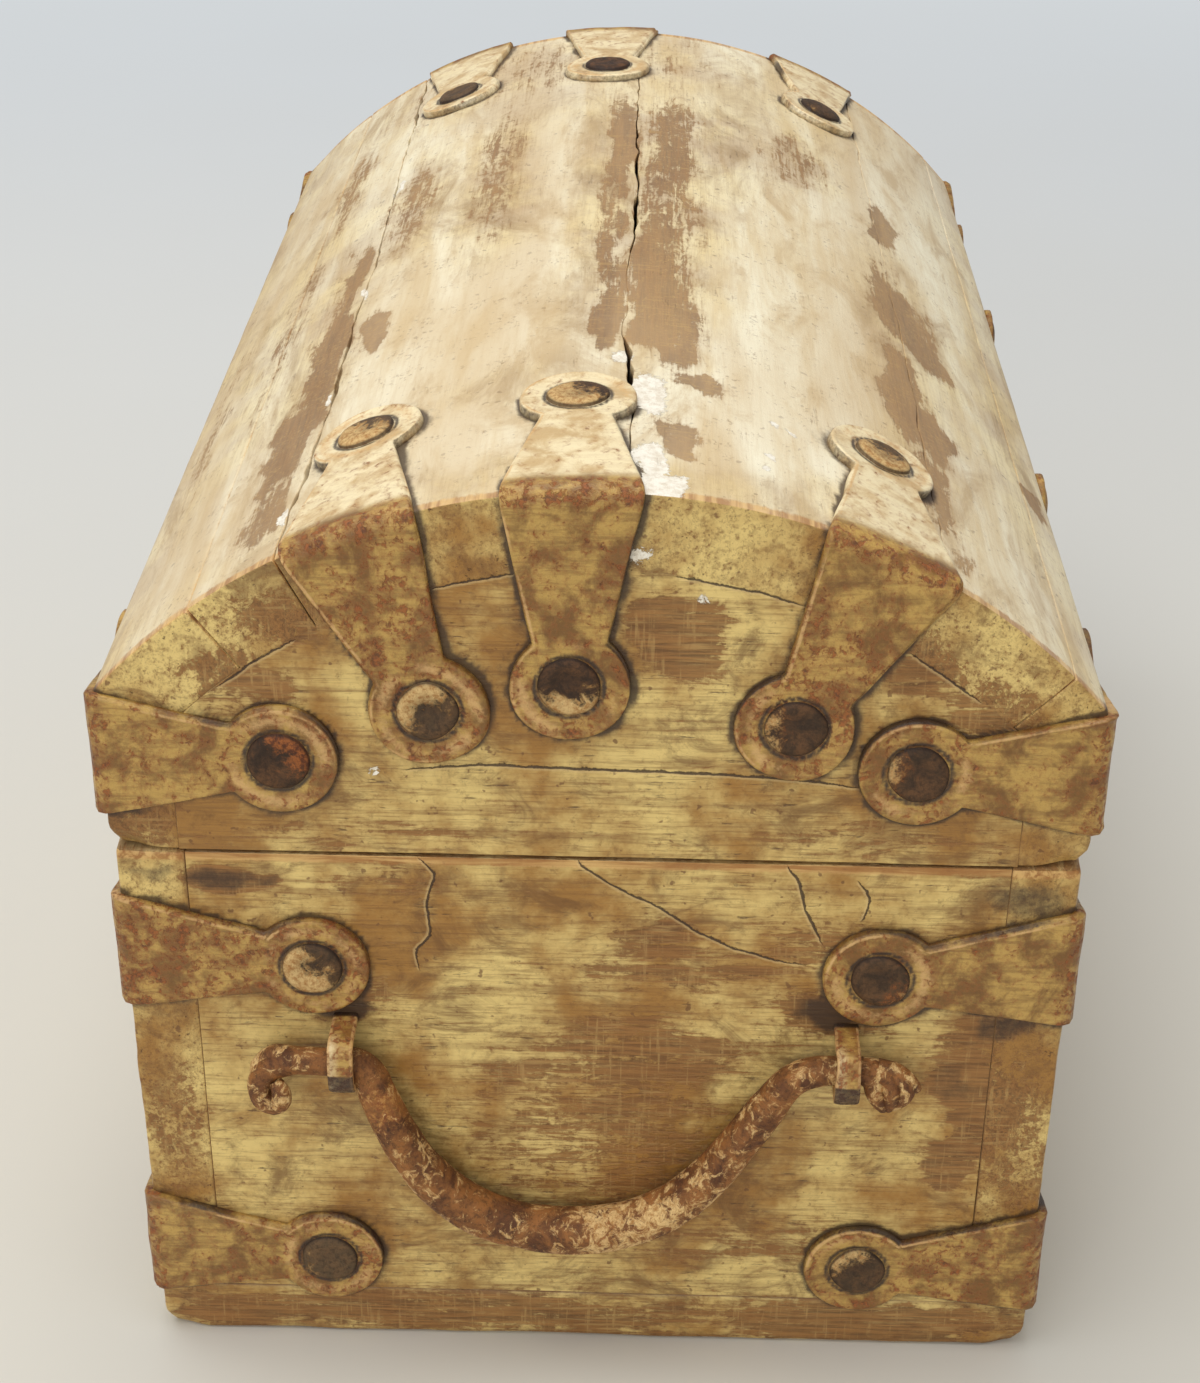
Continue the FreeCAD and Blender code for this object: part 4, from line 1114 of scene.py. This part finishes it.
def rail_curve(part, across, half_width, spring, radius, first, last):
    """Point on a rail's outer or inner outline: upright below the spring line, then round the arch."""
    upright = 0.6
    rise = np.clip(part / upright, 0, 1)
    round_part = np.clip((part - upright) / (1 - upright), 0, 1)
    angle = np.radians(first + (last - first) * round_part)
    y = np.where(part < upright, across * half_width, radius * np.cos(angle))
    z = np.where(part < upright, LID_LOW + rise * (spring - LID_LOW), ARCH_HEIGHT + radius * np.sin(angle))
    return np.stack([y, z], axis=1)


def make_rail(side, across, last, seed, material):
    """Long side of the lid, upright and then curving in to meet the staves."""
    inner_half = LID_HALF_WIDTH - BOARD
    outer_first = math.degrees(math.acos(across * LID_HALF_WIDTH / ARCH_RADIUS))
    inner_first = math.degrees(math.acos(across * inner_half / ARCH_INNER))
    inner_spring = ARCH_HEIGHT + math.sqrt(ARCH_INNER ** 2 - inner_half ** 2)
    tall = SPRING_HEIGHT - LID_LOW + ARCH_RADIUS * math.radians(abs(last - outer_first))
    size = (2 * HALF_LENGTH, tall, BOARD)
    points, faces, arris, outward = worn_block(size, (2.0, 1.5, 2.5), 1.5, seed, 0.3)
    part = points[:, 1] / tall
    depth = (points[:, 2] / BOARD)[:, None]
    outer = rail_curve(part, across, LID_HALF_WIDTH, SPRING_HEIGHT, ARCH_RADIUS, outer_first, last)
    inner = rail_curve(part, across, inner_half, inner_spring, ARCH_INNER, inner_first, last)
    yz = inner + (outer - inner) * depth
    placed = np.column_stack([points[:, 0] - HALF_LENGTH, yz])
    bare = smooth(-0.4, -0.8, outward[:, 2])
    return add_wood(f"lid_{side}_rail", placed, faces, outward, arris, bare, "lid", material)


def make_panel(end, along, material):
    """End panel of the lid, with its top cut to the inside of the arch."""
    half = LID_HALF_WIDTH - BOARD + LAP
    arch = ARCH_INNER + LAP
    tall = ARCH_HEIGHT + arch - LID_LOW
    fine = FINE_GRID[end]
    size = (BOARD, 2 * half, tall)
    points, faces, arris, outward = worn_block(size, (2.5, fine, fine), 0.6, 47 + along, 0.3)
    x = along * (HALF_LENGTH - BOARD + points[:, 0])
    y = points[:, 1] - half
    top = ARCH_HEIGHT + np.sqrt(arch ** 2 - y ** 2) - LID_LOW
    placed = np.stack([x, y, LID_LOW + points[:, 2] * top / tall], axis=1)
    bare = smooth(-0.4, -0.8, outward[:, 0])
    outward = outward * np.array([along, 1, 1])
    return add_wood(f"lid_{end}_panel", placed, faces, outward, arris, bare, "lid", material)


def make_lid(along_x, along_y):
    """Four staves, two rails and two end panels."""
    for number, name in enumerate(("back_stave", "back_crown_stave", "front_crown_stave", "front_stave")):
        make_stave(name, number, along_x)
    make_rail("back", 1, STAVE_LOW_ANGLE, 55, along_x)
    make_rail("front", -1, STAVE_LOW_ANGLE + STAVE_ARC, 56, along_x)
    for end, along in ENDS.items():
        make_panel(end, along, along_y)


# Handles


def smooth_path(knots, step):
    """Evenly spaced points on a smooth curve through given knots; each may carry more values."""
    knots = np.asarray(knots, float)
    ends = np.vstack([2 * knots[0] - knots[1], knots, 2 * knots[-1] - knots[-2]])
    dense = []
    for a, b, c, d in zip(ends[:-3], ends[1:-2], ends[2:-1], ends[3:]):
        t = np.linspace(0, 1, 40, endpoint=False)[:, None]
        dense.append(0.5 * (2 * b + (c - a) * t + (2 * a - 5 * b + 4 * c - d) * t ** 2
                            + (3 * b - a - 3 * c + d) * t ** 3))
    dense = np.vstack([*dense, knots[-1:]])
    run = np.append(0, np.cumsum(np.linalg.norm(np.diff(dense[:, :3], axis=0), axis=1)))
    even = np.linspace(0, run[-1], int(run[-1] / step) + 1)
    return np.stack([np.interp(even, run, dense[:, k]) for k in range(dense.shape[1])], axis=1)


# Bail's middle line: stand-off from the pivot, across, height, radius
BAIL_KNOTS = [
    (0.4, -69.0, 82.4, 2.6), (0.1, -66.5, 83.4, 3.3), (0, -62.0, 83.7, 3.3), (0, -57.0, 83.6, 3.3),
    (0, -51.5, 83.4, 3.7), (0, -47.8, 80.2, 4.1), (0, -45.4, 72.6, 4.5), (0, -40.5, 60.5, 5.0),
    (0, -34.0, 50.5, 5.3), (0, -25.0, 42.8, 5.5), (0, -14.0, 38.9, 5.5), (0, -3.0, 38.2, 5.5),
    (0, 8.0, 40.6, 5.5), (0, 18.0, 46.6, 5.3), (0, 26.0, 55.8, 5.1), (0, 32.0, 65.5, 4.8),
    (0, 37.0, 74.0, 4.5), (0, 41.5, 81.0, 4.0), (0, 46.5, 83.8, 3.6), (0, 53.0, 84.4, 3.3),
    (0, 58.0, 84.4, 3.3), (0.3, 61.0, 84.0, 2.6),
]
# Split and rolled ends of the bail, in the same terms
CURL_KNOTS = [
    [(0.2, -64.5, 83.5, 3.2), (0.8, -68.6, 82.2, 3.2), (1.6, -70.8, 79.0, 3.0), (2.2, -70.6, 75.6, 2.8),
     (2.8, -68.0, 74.0, 2.6), (3.4, -66.2, 75.8, 2.4), (3.4, -66.4, 78.4, 2.2), (2.6, -67.4, 80.0, 1.6)],
    [(-0.4, -63.0, 84.2, 2.6), (-0.6, -67.6, 84.6, 2.6), (-0.2, -71.0, 82.0, 2.2), (0.2, -71.6, 78.0, 1.6)],
    [(0.2, 56.5, 84.4, 3.2), (1.2, 58.6, 82.8, 2.8), (2.2, 59.4, 79.6, 2.4), (1.6, 61.4, 76.0, 1.6)],
    [(0.3, 58.0, 84.8, 3.0), (1.4, 61.6, 83.8, 2.6), (2.6, 62.6, 80.4, 2.4), (1.8, 62.2, 76.2, 1.6)],
    [(0.3, 59.0, 84.6, 2.8), (1.2, 64.2, 83.2, 2.5), (2.2, 65.6, 80.2, 2.3), (1.6, 63.0, 76.4, 1.5)],
    [(0.2, 59.5, 85.0, 2.8), (0.6, 64.2, 84.2, 2.4), (1.0, 67.0, 81.8, 1.9), (1.2, 68.4, 80.4, 1.0)],
]


def directions(path):
    """Unit direction of a path at each of its points."""
    tangent = np.gradient(path, axis=0)
    return tangent / np.linalg.norm(tangent, axis=1)[:, None]


def close_tube(points, paint, path, around):
    """Points, faces and paint of a tube along a path, with one more point in the middle of each end."""
    points = np.vstack([points, path[0], path[-1]])
    paint = np.vstack([paint, paint[0], paint[-1]])
    return points, ring_faces(len(path), around), paint


def hammered_bar(knots, around, seed):
    """Points, faces and paint of a bar with a dented eight-sided section along a knotted line."""
    line = smooth_path(knots, BAR_STEP)
    path = line[:, :3]
    tangent = directions(path)
    out = np.array([1.0, 0, 0]) - tangent * tangent[:, :1]
    out /= np.linalg.norm(out, axis=1)[:, None]
    flat = np.cross(tangent, out)
    index = np.repeat(np.arange(len(path)), around)
    turn = np.tile(np.linspace(0, 2 * math.pi, around, endpoint=False), len(path))
    facet = 1 - 0.06 * np.abs(np.sin(4 * turn + 0.3)) ** 0.7
    spot = np.stack([index * BAR_STEP, 5 * np.cos(turn), 5 * np.sin(turn)], axis=1)
    ring = line[index, 3] * facet + 0.3 * rough_noise(spot, 6, seed) - 0.2
    aside = np.cos(turn)[:, None] * out[index] + np.sin(turn)[:, None] * flat[index]
    points = path[index] + ring[:, None] * aside
    return close_tube(points, bail_paint(points, turn, spot, seed), path, around)


def bail_paint(points, turn, spot, seed):
    """Painted highlight along the upper ridge, paint left in chips, rust outside the bends."""
    y, z = points[:, Y], points[:, Z]
    grip = smooth(80, 60, z)
    ridge_highlight = 0.6 * grip * bell(np.cos(turn - 0.9) - 1, 0.16)
    chips = 0.26 + 0.08 * grip + 0.16 * smooth(55, 60, np.abs(y)) + 0.22 * value_noise(spot, 12, seed + 4)
    rust = 0.15 + 0.4 * bell(np.abs(y) - 45, 7) * bell(z - 74, 9)
    return np.stack([ridge_highlight, chips, rust, np.zeros(len(y))], axis=1)


def make_bail(end, along, material):
    """Forged bar, thick in the grip, with its ends split and curled beyond the staples."""
    bars = [hammered_bar(BAIL_KNOTS, 28, 71)]
    for count, knots in enumerate(CURL_KNOTS):
        bars.append(hammered_bar(knots, 16, 110 + 5 * count))
    points, faces, paint = join(bars)
    points = (points + np.array([HALF_LENGTH + PIVOT_STAND, 0, 0])) * np.array([along, along, 1])
    return add_piece(f"bail_{end}_bar", points, faces, f"bail_{end}", "forged_iron",
                     [f"bail_{end}"], material, paint=paint)


# Middle line of a staple: stand-off from the end board's face, height over its eye
STAPLE_KNOTS = [
    (-16.0, 13.6), (-16.0, 9.5), (-15.6, 7.0), (-13.5, 6.0), (-8.0, 6.0), (0.0, 6.0), (5.0, 6.1), (9.5, 6.3),
    (11.6, 5.6), (12.1, 3.0), (12.1, -1.0), (11.2, -4.2), (8.8, -5.9), (5.0, -6.0), (0.0, -6.0), (-8.0, -6.0),
    (-13.5, -6.0), (-15.6, -7.0), (-16.0, -9.5), (-16.0, -13.6),
]


def staple_paint(stand, height, cos, sin):
    """Painted highlight on the edges and a pale front, painted shade next to the wood and inside the loop,
    even rust.
    """
    # Painted highlight on both edges of the strip
    rim = 0.7 * (np.abs(cos) > 0.8) * (stand > 0)
    # Painted shade next to the wood and inside the loop
    dirt_and_shade = 0.9 * smooth(2.5, 0, stand) + 0.6 * (sin * np.sign(height) < -0.5)
    rust = np.full(len(rim), 0.25)
    pale = 0.5 * smooth(6, 11, stand) * (cos < 0)
    return np.stack([rim, dirt_and_shade, rust, pale], axis=1)


def squared(wave):
    """Wave flattened at its crests, for a strip's nearly square section."""
    return np.sign(wave) * np.abs(wave) ** 0.35


def make_staple(side, across, end, along, material):
    """Strip of iron bent squarely round the bail's pin, through the board and clinched inside."""
    line = smooth_path([(x, 0, z) for x, z in STAPLE_KNOTS], STAPLE_STEP)
    wide = np.array([0, 1.0, 0])
    thin = np.cross(directions(line), wide)
    around = 20
    index = np.repeat(np.arange(len(line)), around)
    angle = np.tile(np.linspace(0, 2 * math.pi, around, endpoint=False), len(line))
    cos, sin = squared(np.cos(angle)), squared(np.sin(angle))
    seed = 80 + across + 3 * along
    spot = np.stack([index * STAPLE_STEP, cos * 3, sin * 3], axis=1)
    half = 2.6 + 0.25 * value_noise(spot, 5, seed)
    thick = 0.92 + 0.16 * value_noise(spot, 4, seed + 1)
    points = line[index] + (half * cos)[:, None] * wide + (thick * sin)[:, None] * thin[index]
    paint = staple_paint(line[index, X], line[index, Z], cos, sin)
    points, faces, paint = close_tube(points, paint, line, around)
    points = points + np.array([HALF_LENGTH, 0, STAPLE_HEIGHT])
    points = points * np.array([along, 1, 1]) + np.array([0, across * STAPLE_SIDE, 0])
    name = f"handle_staple_{side}_{end}"
    return add_piece(name + "_strip", points, faces, "box", "painted_iron", [name], material, paint=paint)


def make_handles(iron, bar):
    """A bail and its two staples on each end."""
    for end, along in ENDS.items():
        make_bail(end, along, bar)
        for side, across in SIDES.items():
            make_staple(side, across, end, along, iron)


# Hinges and bottom nails


def soften_leaf(node, body, seed, material):
    """Hinge leaf rebuilt with worn edges and a hammered face."""
    mesh = frame["nodes"][node].data.copy()
    mesh.materials.clear()
    piece = bpy.data.objects.new(node + "_iron", mesh)
    bpy.context.scene.collection.objects.link(piece)
    remesh = piece.modifiers.new("even_faces", "REMESH")
    remesh.mode = "VOXEL"
    remesh.voxel_size = 0.45 * MM
    soften = piece.modifiers.new("worn_edges", "SMOOTH")
    soften.factor = 0.5
    soften.iterations = 3
    shaped = bpy.data.meshes.new_from_object(piece.evaluated_get(bpy.context.evaluated_depsgraph_get()))
    bpy.data.objects.remove(piece)
    points = np.empty(len(shaped.vertices) * 3)
    shaped.vertices.foreach_get("co", points)
    points = points.reshape(-1, 3) / MM
    faces = np.empty(len(shaped.polygons) * 4, int)
    shaped.polygons.foreach_get("vertices", faces)
    points[:, 1] += 0.12 * rough_noise(points, 6, seed)
    level = rough_noise(points, 9, seed + 1)
    paint = np.stack([np.zeros(len(level)), 0.15 + 0.2 * level, 0.16 + 0.15 * level, 0 * level], axis=1)
    return add_piece(node + "_iron", points, faces.reshape(-1, 4), body, "painted_iron", [node], material,
                     paint=paint)


def dress_node(node, material):
    """Give a CAD node that stays a worked material."""
    slots = frame["nodes"][node].data.materials
    slots.clear()
    slots.append(material)


def make_hinges(iron, plain):
    """Leaves with worn edges; pins and bottom nails keep their solids."""
    for count, end in enumerate(ENDS):
        soften_leaf(f"box_hinge_leaf_{end}", "box", 90 + count, iron)
        soften_leaf(f"lid_hinge_leaf_{end}", "lid", 94 + count, iron)
        dress_node(f"hinge_pin_{end}", plain)
    dress_node("bottom_nails", plain)


# Stage


BACKDROP = (214, 219, 222)
FLOOR_HALF = 12.0
# Camera: pitch, yaw and roll in degrees, place in metres, lens in millimetres
CAMERA_TURN = (29.75, 1.27, 0.53)
CAMERA_PLACE = (0.5755, 0.0094, 0.4057)
CAMERA_LENS = 62.86


def make_floor():
    """Wide pale floor that runs out into the backdrop's even tone."""
    corners = [(x * FLOOR_HALF, y * FLOOR_HALF, 0) for x, y in ((-1, -1), (1, -1), (1, 1), (-1, 1))]
    mesh = bpy.data.meshes.new("floor")
    mesh.from_pydata(corners, [], [(0, 1, 2, 3)])
    g = Graph("floor_paint")
    tone = g.noise(6, 3, 0.5)
    split = g.new("ShaderNodeSeparateXYZ")
    g.put(split.inputs[0], g.place)
    colour = g.tones(split.outputs["X"], -1.2, 0.4, (224, 230, 235), (212, 208, 196))
    colour = g.coat(colour, tone, 0.3, (208, 207, 202))
    mesh.materials.append(g.finish(colour, g.scaled(tone, 0.1, 0.6), g.noise(60), 0.05, 0.001))
    distance = g.new("ShaderNodeVectorMath", operation="LENGTH")
    g.put(distance.inputs[0], g.place)
    seen = g.new("ShaderNodeLightPath").outputs["Is Camera Ray"]
    glow = g.new("ShaderNodeEmission")
    g.put(glow.inputs["Color"], BACKDROP)
    blend = g.new("ShaderNodeMixShader")
    g.put(blend.inputs[0], g.times(seen, g.step(distance.outputs["Value"], 0.5, 1.5)))
    g.put(blend.inputs[1], g.shader.outputs[0])
    g.put(blend.inputs[2], glow.outputs[0])
    g.put(g.tree.nodes["Material Output"].inputs["Surface"], blend.outputs[0])
    floor = bpy.data.objects.new("floor", mesh)
    bpy.context.scene.collection.objects.link(floor)


def add_lamp(name, place, aim, size, power):
    """Large square soft lamp pointed at the chest."""
    lamp = bpy.data.lights.new(name, "AREA")
    lamp.size = size
    lamp.energy = power
    body = bpy.data.objects.new(name, lamp)
    body.location = place
    body.rotation_euler = (Vector(aim) - Vector(place)).to_track_quat("-Z", "Y").to_euler()
    bpy.context.scene.collection.objects.link(body)


def make_light():
    """Overhead softbox, a weaker fill from the camera's side, and an even pale surround."""
    add_lamp("overhead", (0.1, -0.35, 1.9), (0, 0, 0.1), 1.6, 26)
    add_lamp("near_fill", (1.9, -0.5, 0.9), (0, 0, 0.12), 1.2, 12)
    world = bpy.data.worlds.new("surround")
    world.use_nodes = True
    nodes = world.node_tree.nodes
    links = world.node_tree.links
    lighting = nodes["Background"]
    lighting.inputs["Color"].default_value = (1.0, 0.98, 0.96, 1)
    lighting.inputs["Strength"].default_value = 0.42
    backdrop = nodes.new("ShaderNodeBackground")
    backdrop.inputs["Color"].default_value = srgb(*BACKDROP)
    blend = nodes.new("ShaderNodeMixShader")
    links.new(nodes.new("ShaderNodeLightPath").outputs["Is Camera Ray"], blend.inputs[0])
    links.new(lighting.outputs[0], blend.inputs[1])
    links.new(backdrop.outputs[0], blend.inputs[2])
    links.new(blend.outputs[0], nodes["World Output"].inputs["Surface"])
    bpy.context.scene.world = world


def make_camera():
    """Camera at the photograph's viewing angle."""
    pitch, yaw, roll = (math.radians(turn) for turn in CAMERA_TURN)
    forward = Vector((-math.cos(pitch) * math.cos(yaw), -math.cos(pitch) * math.sin(yaw), -math.sin(pitch)))
    level = forward.cross(Vector((0, 0, 1))).normalized()
    upright = level.cross(forward)
    right = math.cos(roll) * level + math.sin(roll) * upright
    up = math.cos(roll) * upright - math.sin(roll) * level
    camera = bpy.data.cameras.new("camera")
    camera.sensor_width = 36
    camera.lens = CAMERA_LENS
    camera.clip_start = 0.01
    body = bpy.data.objects.new("camera", camera)
    turn = Matrix((right, up, -forward)).transposed().to_4x4()
    body.matrix_world = Matrix.Translation(Vector(CAMERA_PLACE)) @ turn
    bpy.context.scene.collection.objects.link(body)
    bpy.context.scene.camera = body


def main():
    wood_x = painted_wood("painted_wood_long", (0.05, 1, 1))
    wood_y = painted_wood("painted_wood_cross", (1, 0.05, 1))
    strap_iron = painted_iron("painted_iron")
    nail = nail_iron("nail_iron")
    bar = forged_iron("forged_iron")
    make_box(wood_x, wood_y)
    make_lid(wood_x, wood_y)
    for strap in STRAPS:
        make_strap(strap, strap_iron)
    make_nails(nail)
    make_handles(strap_iron, bar)
    make_hinges(strap_iron, bar)
    make_floor()
    make_light()
    make_camera()
    bpy.context.scene.view_settings.view_transform = "Standard"


main()
